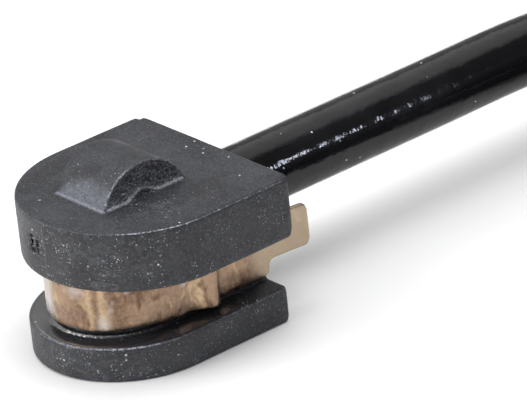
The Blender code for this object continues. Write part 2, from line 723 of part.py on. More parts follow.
def make_plug_housing():
    """The plug's one moulding: body, tower, latch arm, grip ribs and the bores for its inner parts."""
    housing = plug_box("plug_housing", PLUG_HALF_WIDTH, 0.0, PLUG_HEIGHT, PLUG_FRONT_Y, PLUG_REAR_Y,
                       PLUG_PLASTIC)
    round_edges(housing, PLUG_ROUND)
    tower = plug_box("tower", TOWER_HALF_WIDTH, PLUG_AXIS_Z - TOWER_HALF_HEIGHT,
                     PLUG_AXIS_Z + TOWER_HALF_HEIGHT, TOWER_FRONT_Y, PLUG_FRONT_Y + PAST)
    round_edges(tower, PLUG_ROUND)
    combine(housing, tower, "UNION")

    arm_low = PLUG_HEIGHT + LATCH_GAP
    arm_high = arm_low + LATCH_THICKNESS
    arm_front = TOWER_FRONT_Y + PLUG_ROUND
    arm_rear = PLUG_REAR_Y - PLUG_ROUND
    narrow = LATCH_HALF_WIDTH - LATCH_INSET
    root = plug_box("latch_root", narrow, PLUG_HEIGHT - PAST, arm_low + PAST,
                    LATCH_ROOT_Y - LATCH_ROOT_HALF, LATCH_ROOT_Y + LATCH_ROOT_HALF)
    arm = plug_box("latch_arm", LATCH_HALF_WIDTH, arm_low, arm_high, arm_front, arm_rear)
    round_edges(arm, PLUG_ROUND / 2)
    hook_front = arm_front + LATCH_INSET
    hook_rear = hook_front + HOOK_LENGTH
    hook_outline = [(hook_front, arm_low + PAST), (hook_front, arm_low - HOOK_TIP),
                    (hook_rear - HOOK_FLAT, arm_low - HOOK_HEIGHT), (hook_rear, arm_low - HOOK_HEIGHT),
                    (hook_rear, arm_low + PAST)]
    hook = prism("latch_hook", [hook_outline], PLUG_X - narrow, PLUG_X + narrow, None, ACROSS)
    pad_rear = arm_rear - LATCH_INSET
    pad = plug_box("thumb_pad", narrow, arm_high - PAST, arm_high + THUMB_PAD_HEIGHT,
                   pad_rear - THUMB_PAD_LENGTH, pad_rear)
    round_edges(pad, PLUG_ROUND / 2)
    for solid in (root, arm, hook, pad):
        combine(housing, solid, "UNION")

    for side, sign in SIDES.items():
        for i in range(GRIP_COUNT):
            rear = PLUG_REAR_Y - GRIP_WIDTH / 2 - i * GRIP_PITCH
            groove = plug_box(f"grip_{side}_{i}", GRIP_DEPTH, GRIP_LOW, PLUG_AXIS_Z, rear - GRIP_WIDTH, rear,
                              None, sign * PLUG_HALF_WIDTH)
            combine(housing, groove, "DIFFERENCE")

    seal_end = PLUG_REAR_Y - FIT - SEAL_LENGTH - FIT
    for side, sign in SIDES.items():
        x = sign * CAVITY_HALF_PITCH
        bore = rod("seal_bore_" + side, PLUG_X + x, PLUG_AXIS_Z, seal_end, PLUG_REAR_Y + PAST,
                   SEAL_RADIUS + FIT, segments=28)
        cavity = plug_box("cavity_" + side, CAVITY_HALF, PLUG_AXIS_Z - CAVITY_HALF,
                          PLUG_AXIS_Z + CAVITY_HALF, TOWER_FRONT_Y + WINDOW_WALL, seal_end + PAST, None, x)
        window = plug_box("window_" + side, WINDOW_HALF, PLUG_AXIS_Z - WINDOW_HALF,
                          PLUG_AXIS_Z + WINDOW_HALF, TOWER_FRONT_Y - PAST,
                          TOWER_FRONT_Y + WINDOW_WALL + PAST, None, x)
        for cutter in (bore, cavity, window):
            combine(housing, cutter, "DIFFERENCE")
    slot_low = -lock_reach() - FIT
    slot_high = PLUG_HALF_WIDTH + PAST
    lock_slot = plug_box("lock_slot", (slot_high - slot_low) / 2, lock_low() - FIT,
                         lock_low() + LOCK_THICKNESS + FIT, LOCK_Y - LOCK_HALF_LENGTH - FIT,
                         LOCK_Y + LOCK_HALF_LENGTH + FIT, None, (slot_high + slot_low) / 2)
    combine(housing, lock_slot, "DIFFERENCE")
    smooth(housing)
    return housing


def lock_low():
    """Underside of the secondary lock, at the cavities' ceiling."""
    return PLUG_AXIS_Z + CAVITY_HALF


def lock_reach():
    """How far past the plug's middle the lock goes, to the far cavity's outer wall."""
    return CAVITY_HALF_PITCH + CAVITY_HALF


def make_plug_inner():
    """Lock, seals, terminals and the ends of the two cores in the plug."""
    reach = lock_reach()
    flange_x = PLUG_HALF_WIDTH + FIT + LOCK_FLANGE / 2
    lock = plug_box("secondary_lock", (flange_x + reach) / 2, lock_low(), lock_low() + LOCK_THICKNESS,
                    LOCK_Y - LOCK_HALF_LENGTH, LOCK_Y + LOCK_HALF_LENGTH, LOCK_PLASTIC,
                    (flange_x - reach) / 2)
    flange = plug_box("lock_flange", LOCK_FLANGE / 2, lock_low() - LOCK_FLANGE,
                      lock_low() + LOCK_THICKNESS + LOCK_FLANGE, LOCK_Y - LOCK_HALF_LENGTH - LOCK_FLANGE,
                      LOCK_Y + LOCK_HALF_LENGTH + LOCK_FLANGE, None, flange_x)
    round_edges(flange, LOCK_FLANGE / 4)
    combine(lock, flange, "UNION")

    inner = rounded_box_outline(TOWER_HALF_WIDTH + FIT, TOWER_HALF_HEIGHT + FIT, PLUG_ROUND + FIT)
    outer = rounded_box_outline(TOWER_HALF_WIDTH + FIT + RING_SEAL_WALL,
                                TOWER_HALF_HEIGHT + FIT + RING_SEAL_WALL, PLUG_ROUND + FIT + RING_SEAL_WALL)
    seal_frame = Matrix.Translation((PLUG_X, PLUG_FRONT_Y - FIT, PLUG_AXIS_Z)) @ ALONG
    ring = prism("interface_seal", [outer, inner], 0.0, RING_SEAL_LENGTH, SEAL_RUBBER, seal_frame)
    round_edges(ring, RING_SEAL_WALL / 4)
    smooth(ring)

    insulation = {"left": CORE_DARK, "right": CORE_PALE}
    for side, sign in SIDES.items():
        x = PLUG_X + sign * CAVITY_HALF_PITCH
        make_wire_seal("wire_seal_" + side, x)
        make_terminal("terminal_" + side, sign * CAVITY_HALF_PITCH)
        core_end = terminal_rear() + FIT
        start_x = PLUG_X + sign * (CORE_RADIUS + FIT)
        core_start = JACKET_END_Y - FIT
        route = [(start_x, core_start, PLUG_AXIS_Z), (start_x, core_start - CORE_STRAIGHT, PLUG_AXIS_Z),
                 ((start_x + x) / 2, (JACKET_END_Y + PLUG_REAR_Y) / 2, PLUG_AXIS_Z),
                 (x, PLUG_REAR_Y + CORE_STRAIGHT, PLUG_AXIS_Z), (x, PLUG_REAR_Y - SEAL_LENGTH, PLUG_AXIS_Z),
                 (x, core_end, PLUG_AXIS_Z)]
        tube("tail_core_" + side, smooth_route(route, 2 * CORE_RADIUS), CORE_RADIUS, insulation[side], 2)
        wire_rear = core_end - FIT
        rod("tail_conductor_" + side, x, PLUG_AXIS_Z, wire_rear - CRIMP_LENGTH + FIT, wire_rear, WIRE_RADIUS,
            COPPER, 12)


def make_wire_seal(name, x):
    """Ribbed rubber seal around one core in the plug's rear."""
    bore = CORE_RADIUS + FIT
    valley = SEAL_RADIUS - SEAL_RIB
    pitch = SEAL_LENGTH / SEAL_RIB_COUNT
    crown_half = pitch / 8
    flank_half = 3 * crown_half
    profile = [(bore, SEAL_LENGTH), (valley, SEAL_LENGTH)]
    for i in range(SEAL_RIB_COUNT):
        middle = SEAL_LENGTH - (i + 0.5) * pitch
        profile += [(valley, middle + flank_half), (SEAL_RADIUS, middle + crown_half),
                    (SEAL_RADIUS, middle - crown_half), (valley, middle - flank_half)]
    profile += [(valley, 0.0), (bore, 0.0)]
    place = Matrix.Translation((x, PLUG_REAR_Y - FIT, PLUG_AXIS_Z)) @ Matrix.Rotation(math.pi / 2, 4, "X")
    turned(name, profile, 28, place, SEAL_RUBBER)


def terminal_front():
    """Front of a terminal, just behind the window's wall."""
    return TOWER_FRONT_Y + WINDOW_WALL + FIT


def terminal_rear():
    """Rear end of a terminal's crimp."""
    return terminal_front() + TERMINAL_BOX_LENGTH + CRIMP_LENGTH


def make_terminal(name, x):
    """Folded terminal: a hollow box in front and an open crimp trough behind it."""
    front = terminal_front()
    box_end = front + TERMINAL_BOX_LENGTH
    shell = plug_box(name, TERMINAL_HALF, PLUG_AXIS_Z - TERMINAL_HALF, PLUG_AXIS_Z + TERMINAL_HALF, front,
                     box_end, TIN, x)
    trough_half = WIRE_RADIUS + FIT + TERMINAL_WALL / 2
    trough = plug_box(name + "_trough", trough_half, PLUG_AXIS_Z - trough_half, PLUG_AXIS_Z + WIRE_RADIUS,
                      box_end - TERMINAL_WALL, terminal_rear(), None, x)
    combine(shell, trough, "UNION")
    hollow_half = TERMINAL_HALF - TERMINAL_WALL
    hollow = plug_box(name + "_hollow", hollow_half, PLUG_AXIS_Z - hollow_half, PLUG_AXIS_Z + hollow_half,
                      front - PAST, box_end - TERMINAL_WALL, None, x)
    channel_half = WIRE_RADIUS + FIT
    channel = plug_box(name + "_channel", channel_half, PLUG_AXIS_Z - channel_half,
                       PLUG_AXIS_Z + TERMINAL_HALF + PAST, box_end, terminal_rear() + PAST, None, x)
    combine(shell, hollow, "DIFFERENCE")
    combine(shell, channel, "DIFFERENCE")


make_head()
make_clip()
make_head_wires()
make_cable()
make_tie()
make_plug_housing()
make_plug_inner()
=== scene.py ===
"""Looks of a brake pad wear sensor: moulded head, bronze spring clip, tied coil of cable and plug.

The frame gives every piece its place, in metres. The head's moulding is a finer mesh of the frame's own
form, the clip and the tie are built in the frame's sizes, the cable is one cord with real turns, and every
surface has a procedural material. The camera comes first, then the cord with its tie, the head, the clip,
the finishes of the frame's other nodes, and the studio.
"""

import math

import bmesh
import bpy
import numpy as np
from mathutils import Matrix, Vector, noise


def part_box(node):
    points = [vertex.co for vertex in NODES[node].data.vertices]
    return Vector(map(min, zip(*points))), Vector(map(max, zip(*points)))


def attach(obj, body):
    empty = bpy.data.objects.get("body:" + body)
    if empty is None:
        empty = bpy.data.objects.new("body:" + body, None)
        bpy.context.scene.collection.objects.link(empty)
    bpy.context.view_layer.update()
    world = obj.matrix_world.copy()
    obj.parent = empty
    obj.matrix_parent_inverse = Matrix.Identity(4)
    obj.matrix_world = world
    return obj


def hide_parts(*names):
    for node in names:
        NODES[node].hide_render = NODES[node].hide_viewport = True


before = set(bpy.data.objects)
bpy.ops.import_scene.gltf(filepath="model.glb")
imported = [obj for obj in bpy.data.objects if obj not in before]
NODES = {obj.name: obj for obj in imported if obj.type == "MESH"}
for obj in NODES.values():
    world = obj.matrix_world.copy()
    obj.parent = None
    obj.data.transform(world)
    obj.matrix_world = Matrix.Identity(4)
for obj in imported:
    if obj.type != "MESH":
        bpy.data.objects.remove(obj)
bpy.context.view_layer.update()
MM = 0.001

# Sizes of the frame that the refined pieces follow
HEAD_LOW, HEAD_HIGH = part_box("head_housing")
PLATE_TOP = 2.6 * MM
PLATE_HALF_WIDTH = 6.92 * MM
PLATE_REAR = 7.45 * MM
PLATE_CORNER = 0.55 * MM
BLOCK_LOW = 6.82 * MM
BLOCK_CORNER = 0.85 * MM
BLOCK_TOP = 11.27 * MM
BLOCK_NOSE = 7.7 * MM
BLOCK_HALF_WIDTH = HEAD_HIGH.x
BLOCK_REAR = HEAD_HIGH.y
HUMP_END_X = 2.5 * MM
HUMP_X = -0.15 * MM
HUMP_Y = -0.6 * MM
HUMP_HALF_LENGTH = 3.6 * MM
HUMP_HEIGHT = HEAD_HIGH.z - BLOCK_TOP
CABLE_RADIUS = 2.5 * MM
CABLE_Z = 7.9 * MM
JACKET_START_Y = 5.5 * MM

# Camera at the photograph's angle
CAMERA_AZIMUTH = math.radians(51.99)
CAMERA_ELEVATION = math.radians(25.19)
CAMERA_ROLL = math.radians(-6.15)
CAMERA_PLACE = (0.2754, -0.2038, 0.1700)
CAMERA_LENS = 378.6
CAMERA_SENSOR = 36.0

# The spare cable's coil, wound clockwise from its west side
COIL_RADIUS = 29.0 * MM
COIL_PITCH = 5.2 * MM
COIL_X = COIL_RADIUS + COIL_PITCH / 2
COIL_Y = 61.0 * MM
COIL_Z = 3.4 * MM
COIL_TOP_Z = COIL_Z + math.sqrt((2 * CABLE_RADIUS) ** 2 - (COIL_PITCH / 2) ** 2)
COIL_CROSSING_RISE = 0.6 * MM
PLUG_X = COIL_X + COIL_RADIUS
PLUG_AXIS_Z = 4.6 * MM
JACKET_END_Y = 26.0 * MM

RUN_ROUTE = [
    (0.0, JACKET_START_Y, CABLE_Z),
    (0.0, 0.0150, CABLE_Z),
    (0.0, 0.0260, CABLE_Z),
    (0.0, 0.0365, CABLE_Z),
    (0.0, 0.0430, 0.00728),
    (0.0, 0.0490, 0.00568),
    (0.0, 0.0553, 0.00405),
    (0.0, COIL_Y, COIL_Z),
]
TAIL_ROUTE = [
    (PLUG_X, COIL_Y, COIL_TOP_Z),
    (PLUG_X, 0.0550, 0.00815),
    (PLUG_X, 0.0500, 0.00848),
    (PLUG_X, 0.0445, 0.00795),
    (PLUG_X, 0.0390, 0.00670),
    (PLUG_X, 0.0330, 0.00520),
    (PLUG_X, JACKET_END_Y, PLUG_AXIS_Z),
]


def smooth_step(value):
    """Ease one number from 0 to 1."""
    value = min(1.0, max(0.0, value))
    return value * value * (3 - 2 * value)


def make_camera():
    """The photograph's view."""
    back = Vector((math.sin(CAMERA_AZIMUTH) * math.cos(CAMERA_ELEVATION),
                   -math.cos(CAMERA_AZIMUTH) * math.cos(CAMERA_ELEVATION), math.sin(CAMERA_ELEVATION)))
    level = (-back).cross(Vector((0, 0, 1))).normalized()
    rise = level.cross(-back)
    cosine, sine = math.cos(CAMERA_ROLL), math.sin(CAMERA_ROLL)
    right = cosine * level + sine * rise
    up = cosine * rise - sine * level
    data = bpy.data.cameras.new("camera")
    data.lens = CAMERA_LENS
    data.sensor_width = CAMERA_SENSOR
    data.clip_start = 0.01
    data.clip_end = 20.0
    camera = bpy.data.objects.new("camera", data)
    bpy.context.scene.collection.objects.link(camera)
    turn = Matrix((right, up, back)).transposed().to_4x4()
    camera.matrix_world = Matrix.Translation(CAMERA_PLACE) @ turn
    bpy.context.scene.camera = camera
    return camera


def coil_place(angle):
    """Centre of the cable in the coil, after an angle in degrees from the coil's start."""
    outer = COIL_RADIUS + COIL_PITCH / 2
    inner = COIL_RADIUS - COIL_PITCH / 2
    radius = outer + (inner - outer) * smooth_step((angle - 270) / 90)
    radius += (COIL_RADIUS - inner) * smooth_step((angle - 630) / 90)
    z = COIL_Z + (COIL_TOP_Z - COIL_Z) * smooth_step((angle - 540) / 90)
    if 630 < angle < 720:
        z += COIL_CROSSING_RISE * math.sin(math.radians(2 * (angle - 630))) ** 2
    turn = math.radians(angle)
    return (COIL_X - radius * math.cos(turn), COIL_Y + radius * math.sin(turn), z)


def cable_route():
    """The cord's whole route: run, two and a half turns, tail."""
    step = 15
    turns = [coil_place(angle) for angle in range(step, 900, step)]
    return RUN_ROUTE + turns + TAIL_ROUTE


def smooth_route(points, spacing):
    """Points at an even spacing on a Catmull-Rom curve through the route's points, and its length."""
    knots = [Vector(p) for p in points]
    knots = [2 * knots[0] - knots[1]] + knots + [2 * knots[-1] - knots[-2]]
    fine = []
    pieces = 16
    for a, b, c, d in zip(knots, knots[1:], knots[2:], knots[3:]):
        for i in range(pieces):
            t = i / pieces
            fine.append(0.5 * (2 * b + (c - a) * t + (2 * a - 5 * b + 4 * c - d) * t * t
                               + (3 * b - a - 3 * c + d) * t ** 3))
    fine.append(knots[-2])
    travelled = [0.0]
    for first, second in zip(fine, fine[1:]):
        travelled.append(travelled[-1] + (second - first).length)
    count = max(2, round(travelled[-1] / spacing))
    even = []
    j = 0
    for i in range(count + 1):
        target = travelled[-1] * i / count
        while j < len(fine) - 2 and travelled[j + 1] < target:
            j += 1
        share = (target - travelled[j]) / (travelled[j + 1] - travelled[j])
        even.append(fine[j].lerp(fine[j + 1], share))
    return even, travelled[-1]


class Shader:
    """A material's nodes, with a short call for each kind that the surfaces here use."""

    def __init__(self, name):
        self.material = bpy.data.materials.new(name)
        self.material.use_nodes = True
        self.tree = self.material.node_tree
        self.surface = self.tree.nodes["Principled BSDF"]
        self.place = self.node("TexCoord").outputs["Object"]
        parts = self.node("SeparateXYZ", {"Vector": self.place})
        self.across = parts.outputs["X"]
        self.height = parts.outputs["Z"]

    def node(self, kind, values=None, **settings):
        """Add a node, with its settings and its sockets' values or links."""
        item = self.tree.nodes.new("ShaderNode" + kind)
        for key, value in settings.items():
            setattr(item, key, value)
        for key, value in (values or {}).items():
            if isinstance(value, bpy.types.NodeSocket):
                self.tree.links.new(value, item.inputs[key])
            else:
                item.inputs[key].default_value = value
        return item

    def stretched(self, scales):
        """The place, scaled by an amount for each axis."""
        mapping = self.node("Mapping", {"Vector": self.place, "Scale": scales})
        return mapping.outputs["Vector"]

    def noise(self, size, detail=3.0, rough=0.5, place=None, twist=0.0):
        """Noise whose features have a size in metres."""
        item = self.node("TexNoise", {"Vector": place or self.place, "Scale": 1.0 / size, "Detail": detail,
                                      "Roughness": rough, "Distortion": twist})
        return item.outputs["Fac"]

    def specks(self, pitch, radius, share):
        """Round specks of a radius, in a share of cells that have a pitch, from faint to bright."""
        item = self.node("TexVoronoi", {"Vector": self.place, "Scale": 1.0 / pitch})
        spot = self.steps(item.outputs["Distance"], radius / pitch, 0.6 * radius / pitch)
        chance = self.node("SeparateColor", {"Color": item.outputs["Color"]})
        left_out = self.maths("SUBTRACT", 1.0, share)
        chosen = self.steps(self.maths("SUBTRACT", chance.outputs["Red"], left_out), 0.0, 0.01)
        strength = self.steps(chance.outputs["Green"], 0.0, 1.0, 0.3, 1.0)
        return self.times(spot, self.times(chosen, strength))

    def steps(self, value, low, high, to_low=0.0, to_high=1.0):
        """Ease between two values; low may lie above high."""
        item = self.node("MapRange", {"Value": value, "From Min": low, "From Max": high, "To Min": to_low,
                                      "To Max": to_high}, interpolation_type="SMOOTHSTEP")
        return item.outputs["Result"]

    def band(self, value, low, high, soft):
        """1 between two values, eased at both ends."""
        rise = self.steps(value, low - soft, low + soft)
        return self.times(rise, self.steps(value, high + soft, high - soft))

    def maths(self, operation, first, second=0.0):
        """An operation on two values, clamped between 0 and 1."""
        item = self.node("Math", {0: first, 1: second}, operation=operation, use_clamp=True)
        return item.outputs["Value"]

    def times(self, first, second):
        """The product of two values."""
        return self.maths("MULTIPLY", first, second)

    def larger(self, first, second):
        """The larger of two values."""
        return self.maths("MAXIMUM", first, second)

    def mix(self, share, first, second):
        """Blend two colours."""
        colours = []
        for colour in (first, second):
            colours.append((*colour, 1.0) if isinstance(colour, tuple) else colour)
        item = self.node("Mix", {"Factor": share, 6: colours[0], 7: colours[1]}, data_type="RGBA")
        return item.outputs[2]

    def mark(self, name):
        """A value painted on the mesh by its own shape."""
        return self.node("Attribute", attribute_name=name).outputs["Fac"]

    def bump(self, height, depth, below=None):
        """Relief of a depth in metres."""
        values = {"Height": height, "Distance": depth, "Strength": 1.0}
        if below is not None:
            values["Normal"] = below
        return self.node("Bump", values).outputs["Normal"]

    def finish(self, **values):
        """Set or link the surface's sockets, and give the material back."""
        names = {"colour": "Base Color", "rough": "Roughness", "metal": "Metallic", "normal": "Normal",
                 "ior": "IOR", "specular": "Specular IOR Level"}
        for key, value in values.items():
            socket = self.surface.inputs[names[key]]
            if isinstance(value, bpy.types.NodeSocket):
                self.tree.links.new(value, socket)
            elif isinstance(value, tuple):
                socket.default_value = (*value, 1.0)
            else:
                socket.default_value = value
        return self.material


def fleck_layers(s, glint, hollow):
    """Fibre ends that crowd as painted glints where the glint mark says, and in the hollow, in two layers:
    faint ones, and clear ones with dust.
    """
    thick = s.steps(s.noise(2.0 * MM, 3.0, 0.6), 0.42, 0.64, 0.08, 1.0)
    crowd = s.maths("ADD", s.times(glint, thick), s.times(hollow, 0.9))
    crowd = s.maths("ADD", crowd, s.times(thick, 0.06))
    fine = s.specks(0.17 * MM, 0.054 * MM, crowd)
    middling = s.specks(0.26 * MM, 0.08 * MM, s.times(crowd, 0.7))
    bright = s.specks(0.4 * MM, 0.085 * MM, s.times(crowd, 0.3))
    dust = s.specks(1.3 * MM, 0.09 * MM, 0.24)
    return s.larger(fine, middling), s.larger(bright, dust)


def worn_and_lit_edges(s):
    """Pale broken lines along the head's upper edges, and along the hollow's rim and lip: edge wear with a
    painted highlight, brightest where the edges face the light.
    """
    broken = s.steps(s.noise(0.2 * MM, 3.0, 0.75), 0.42, 0.6)
    plate_edge_lit = s.mark("plate_edge_lit")
    # The direction marks set where each edge line carries its painted highlight
    top_line = s.band(s.height, BLOCK_TOP - 0.14 * MM, BLOCK_TOP - 0.08 * MM, 0.025 * MM)
    top_line = s.times(top_line, s.steps(s.mark("top_edge_lit"), 0.0, 1.0, 0.1, 1.0))
    foot_line = s.band(s.height, PLATE_TOP - 0.14 * MM, PLATE_TOP - 0.06 * MM, 0.035 * MM)
    foot_line = s.times(foot_line, s.steps(plate_edge_lit, 0.0, 1.0, 0.1, 1.0))
    step_line = s.band(s.height, PEDESTAL_TOP - 0.09 * MM, PEDESTAL_TOP - 0.03 * MM, 0.025 * MM)
    step_line = s.times(step_line, s.steps(plate_edge_lit, 0.3, 1.0))
    line = s.larger(s.larger(top_line, foot_line), step_line)
    line = s.times(line, s.steps(broken, 0.0, 1.0, 0.15, 1.0))
    rim = s.times(s.mark("rim"), s.steps(broken, 0.0, 1.0, 0.1, 0.75))
    lip = s.times(s.mark("lip"), s.steps(broken, 0.0, 1.0, 0.45, 0.95))
    return s.larger(s.larger(line, rim), lip)


def head_material():
    """Charcoal nylon filled with glass fibre: mottled, with pale flecks, painted glints and sheen, worn
    edges with a painted highlight, scuffs, and a hollow painted pale to lift its shade.
    """
    s = Shader("head_nylon")
    clouds = s.noise(2.6 * MM, 4.0, 0.6)
    grain = s.noise(0.17 * MM, 3.0, 0.65)
    hollow = s.mark("hollow")
    glint = s.mark("glint")
    floor = s.mark("slot_floor")

    # The nylon's two tones, with dark and pale grain
    colour = s.mix(s.steps(clouds, 0.3, 0.7), (0.0265, 0.027, 0.0315), (0.041, 0.042, 0.0485))
    colour = s.mix(s.steps(grain, 0.5, 0.25, 0.0, 0.75), colour, (0.012, 0.012, 0.014))
    colour = s.mix(s.steps(grain, 0.5, 0.75, 0.0, 0.75), colour, (0.105, 0.108, 0.118))

    # The scuffed hump, the rough hollow painted pale to lift the shade that lies in it, the dark slot floor
    # and the pitted gate
    scuffed = s.times(s.mark("scuff"), s.steps(s.noise(0.24 * MM, 3.0, 0.75), 0.2, 0.6))
    colour = s.mix(scuffed, colour, (0.165, 0.174, 0.215))
    # The hollow's colour, far paler than the nylon's: painted light against the shade in the hollow
    shade = s.mix(s.steps(grain, 0.4, 0.65), (0.05, 0.05, 0.056), (0.25, 0.255, 0.275))
    colour = s.mix(s.times(hollow, 0.95), colour, shade)
    colour = s.mix(s.times(floor, 0.2), colour, (0.02, 0.019, 0.019))
    chip = s.steps(s.noise(0.17 * MM, 2.0, 0.5, twist=0.6), 0.56, 0.6)
    colour = s.mix(s.mark("gate"), colour, s.mix(chip, (0.02, 0.02, 0.021), (0.3, 0.3, 0.31)))
    black = s.times(s.mark("strokes"), s.steps(s.noise(0.2 * MM, 2.0, 0.5), 0.34, 0.46))
    colour = s.mix(black, colour, (0.001, 0.001, 0.001))

    # Painted sheen in pale swirls, flecks crowding as painted glints, the mould's seam, and edge wear with a
    # painted highlight
    painted_sheen = s.noise(1.1 * MM, 3.0, 0.6, place=s.stretched((1.0, 1.0, 1.8)), twist=1.2)
    painted_sheen = s.times(s.steps(painted_sheen, 0.46, 0.7, 0.0, 0.42), glint)
    colour = s.mix(painted_sheen, colour, (0.13, 0.132, 0.142))
    faint, clear = fleck_layers(s, glint, hollow)
    # Flecks in the hollow get a paler colour, painted light against the shade that lies in it
    colour = s.mix(faint, colour, s.mix(hollow, (0.32, 0.33, 0.355), (0.6, 0.61, 0.64)))
    colour = s.mix(clear, colour, (0.78, 0.8, 0.85))
    seam = s.band(s.across, -0.03 * MM, 0.03 * MM, 0.03 * MM)
    colour = s.mix(s.times(seam, s.mark("seam")), colour, (0.1, 0.102, 0.11))
    # Edge wear with a painted highlight, in a pale bluish colour
    edge_wear_and_highlight = worn_and_lit_edges(s)
    colour = s.mix(edge_wear_and_highlight, colour, (0.56, 0.58, 0.66))

    # The slot floor is smoother and glossier than the rest
    rough = s.maths("SUBTRACT", s.steps(clouds, 0.3, 0.7, 0.56, 0.44), s.times(floor, 0.3))
    gloss = s.times(s.steps(floor, 0.0, 1.0, 0.18, 0.95), s.steps(black, 0.0, 1.0, 1.0, 0.0))
    relief = s.bump(grain, s.steps(floor, 0.0, 1.0, 0.03 * MM, 0.008 * MM))
    relief = s.bump(s.larger(s.larger(faint, clear), edge_wear_and_highlight), 0.02 * MM, relief)
    return s.finish(colour=colour, rough=rough, normal=relief, specular=gloss, ior=1.8)


def bronze_material():
    """Rolled bronze strip: pinkish and golden, with soft brown blotches and a few drawn streaks, and with
    painted highlights, a painted reflection and painted shade.
    """
    s = Shader("spring_bronze")
    drawn = s.stretched((1.0, 1.0, 0.6))
    patches = s.noise(1.7 * MM, 2.0, 0.5, twist=0.5)
    fine = s.noise(0.3 * MM, 3.0, 0.6)

    # Two tones, with a fine mottle, golden streaks, and a painted highlight along the creases and the
    # detent's flank
    colour = s.mix(s.steps(patches, 0.36, 0.64), (0.26, 0.17, 0.125), (0.37, 0.252, 0.168))
    colour = s.mix(s.steps(fine, 0.44, 0.68, 0.0, 0.32), colour, (0.49, 0.355, 0.245))
    colour = s.mix(s.steps(fine, 0.46, 0.28, 0.0, 0.24), colour, (0.16, 0.095, 0.065))
    golden = s.steps(s.noise(0.8 * MM, 2.0, 0.5, place=drawn), 0.54, 0.74, 0.0, 0.65)
    bright = s.times(s.mark("painted_highlight"), s.steps(fine, 0.34, 0.56, 0.62, 1.0))
    colour = s.mix(s.larger(golden, bright), colour, (0.6, 0.445, 0.27))

    # Brown tarnish and painted shade along the top under the block, pale places that are partly painted
    # reflection and highlight, clean places, spots, and painted shade on the leg
    brown = s.steps(s.noise(1.3 * MM, 3.0, 0.6, place=drawn, twist=0.3), 0.52, 0.7, 0.0, 0.85)
    brown = s.times(brown, s.steps(s.mark("clean"), 0.0, 1.0, 1.0, 0.15))
    # The brown mark: tarnish patches, and painted shade along the strip's top under the block
    mottled = s.times(s.mark("brown"), s.steps(fine, 0.3, 0.62, 1.0, 0.55))
    colour = s.mix(s.larger(brown, mottled), colour, (0.13, 0.074, 0.046))
    # Pale: random pale patches, and the mark's painted reflection and painted highlight
    pale = s.steps(s.noise(1.9 * MM, 2.0, 0.5), 0.62, 0.72, 0.0, 0.45)
    colour = s.mix(s.larger(pale, s.mark("pale")), colour, (0.6, 0.56, 0.53))
    colour = s.mix(s.times(s.mark("clean"), 0.7), colour, (0.42, 0.345, 0.25))
    spots = s.specks(0.5 * MM, 0.06 * MM, 0.35)
    colour = s.mix(s.times(spots, 0.6), colour, (0.1, 0.06, 0.04))
    # Painted shade behind the detent, and a painted dark reflection of the plate along the leg's foot
    uneven = s.steps(s.noise(0.9 * MM, 4.0, 0.65), 0.3, 0.7, 0.55, 1.0)
    dark = s.times(s.mark("dark"), uneven)
    colour = s.mix(s.times(dark, 0.82), colour, (0.095, 0.058, 0.042))

    rough = s.steps(patches, 0.3, 0.7, 0.24, 0.4)
    relief = s.bump(s.noise(0.7 * MM, 2.0, 0.5, place=drawn), 0.08 * MM)
    relief = s.bump(s.noise(0.1 * MM, 2.0, 0.6), 0.008 * MM, relief)
    return s.finish(colour=colour, rough=rough, metal=1.0, normal=relief)


def jacket_material():
    """Glossy black cable jacket with a faint ripple, and bluish specks that are dust and painted dots of
    highlight.
    """
    s = Shader("cable_jacket")
    ripple = s.noise(2.2 * MM, 3.0, 0.5)
    dust = s.specks(0.8 * MM, 0.09 * MM, 0.3)
    haze = s.steps(s.noise(6.0 * MM, 4.0, 0.6), 0.45, 0.7)
    colour = s.mix(haze, (0.006, 0.006, 0.007), (0.011, 0.011, 0.013))
    # Specks of dust that also paint the broken dots of highlight along the cable
    colour = s.mix(dust, colour, (0.7, 0.73, 0.85))
    rough = s.steps(haze, 0.0, 1.0, 0.09, 0.16)
    relief = s.bump(ripple, 0.05 * MM)
    relief = s.bump(s.noise(1.1 * MM, 2.0, 0.5), 0.022 * MM, relief)
    relief = s.bump(s.maths("ADD", s.noise(0.35 * MM, 2.0, 0.5), dust), 0.01 * MM, relief)
    return s.finish(colour=colour, rough=rough, normal=relief, specular=0.33)


def moulded_material(name, dark, light, rough, grain=0.15 * MM, depth=0.008 * MM):
    """Moulded plastic or rubber: two close tones, a fine grain and uneven gloss."""
    s = Shader(name)
    clouds = s.noise(2.0 * MM, 3.0, 0.6)
    colour = s.mix(s.steps(clouds, 0.3, 0.7), dark, light)
    dust = s.specks(1.1 * MM, 0.05 * MM, 0.2)
    colour = s.mix(s.times(dust, 0.35), colour, (0.4, 0.4, 0.42))
    gloss = s.steps(clouds, 0.3, 0.7, rough - 0.06, rough + 0.06)
    return s.finish(colour=colour, rough=gloss, normal=s.bump(s.noise(grain, 2.0, 0.6), depth))


def metal_material(name, dark, light, rough, scales):
    """Bare metal with drawn streaks along one axis and a few dull patches."""
    s = Shader(name)
    streaks = s.noise(0.2 * MM, 3.0, 0.6, place=s.stretched(scales))
    dull = s.steps(s.noise(0.9 * MM, 3.0, 0.6), 0.4, 0.7)
    colour = s.mix(s.steps(streaks, 0.3, 0.7), dark, light)
    gloss = s.steps(dull, 0.0, 1.0, rough, rough + 0.15)
    return s.finish(colour=colour, rough=gloss, metal=1.0, normal=s.bump(streaks, 0.01 * MM))


def floor_material():
    """Plain pale paper."""
    s = Shader("pale_floor")
    tone = s.mix(s.steps(s.noise(0.4, 2.0, 0.5), 0.3, 0.7), (0.92, 0.92, 0.92), (0.935, 0.935, 0.935))
    return s.finish(colour=tone, rough=0.75, normal=s.bump(s.noise(0.8 * MM, 2.0, 0.5), 0.004 * MM))


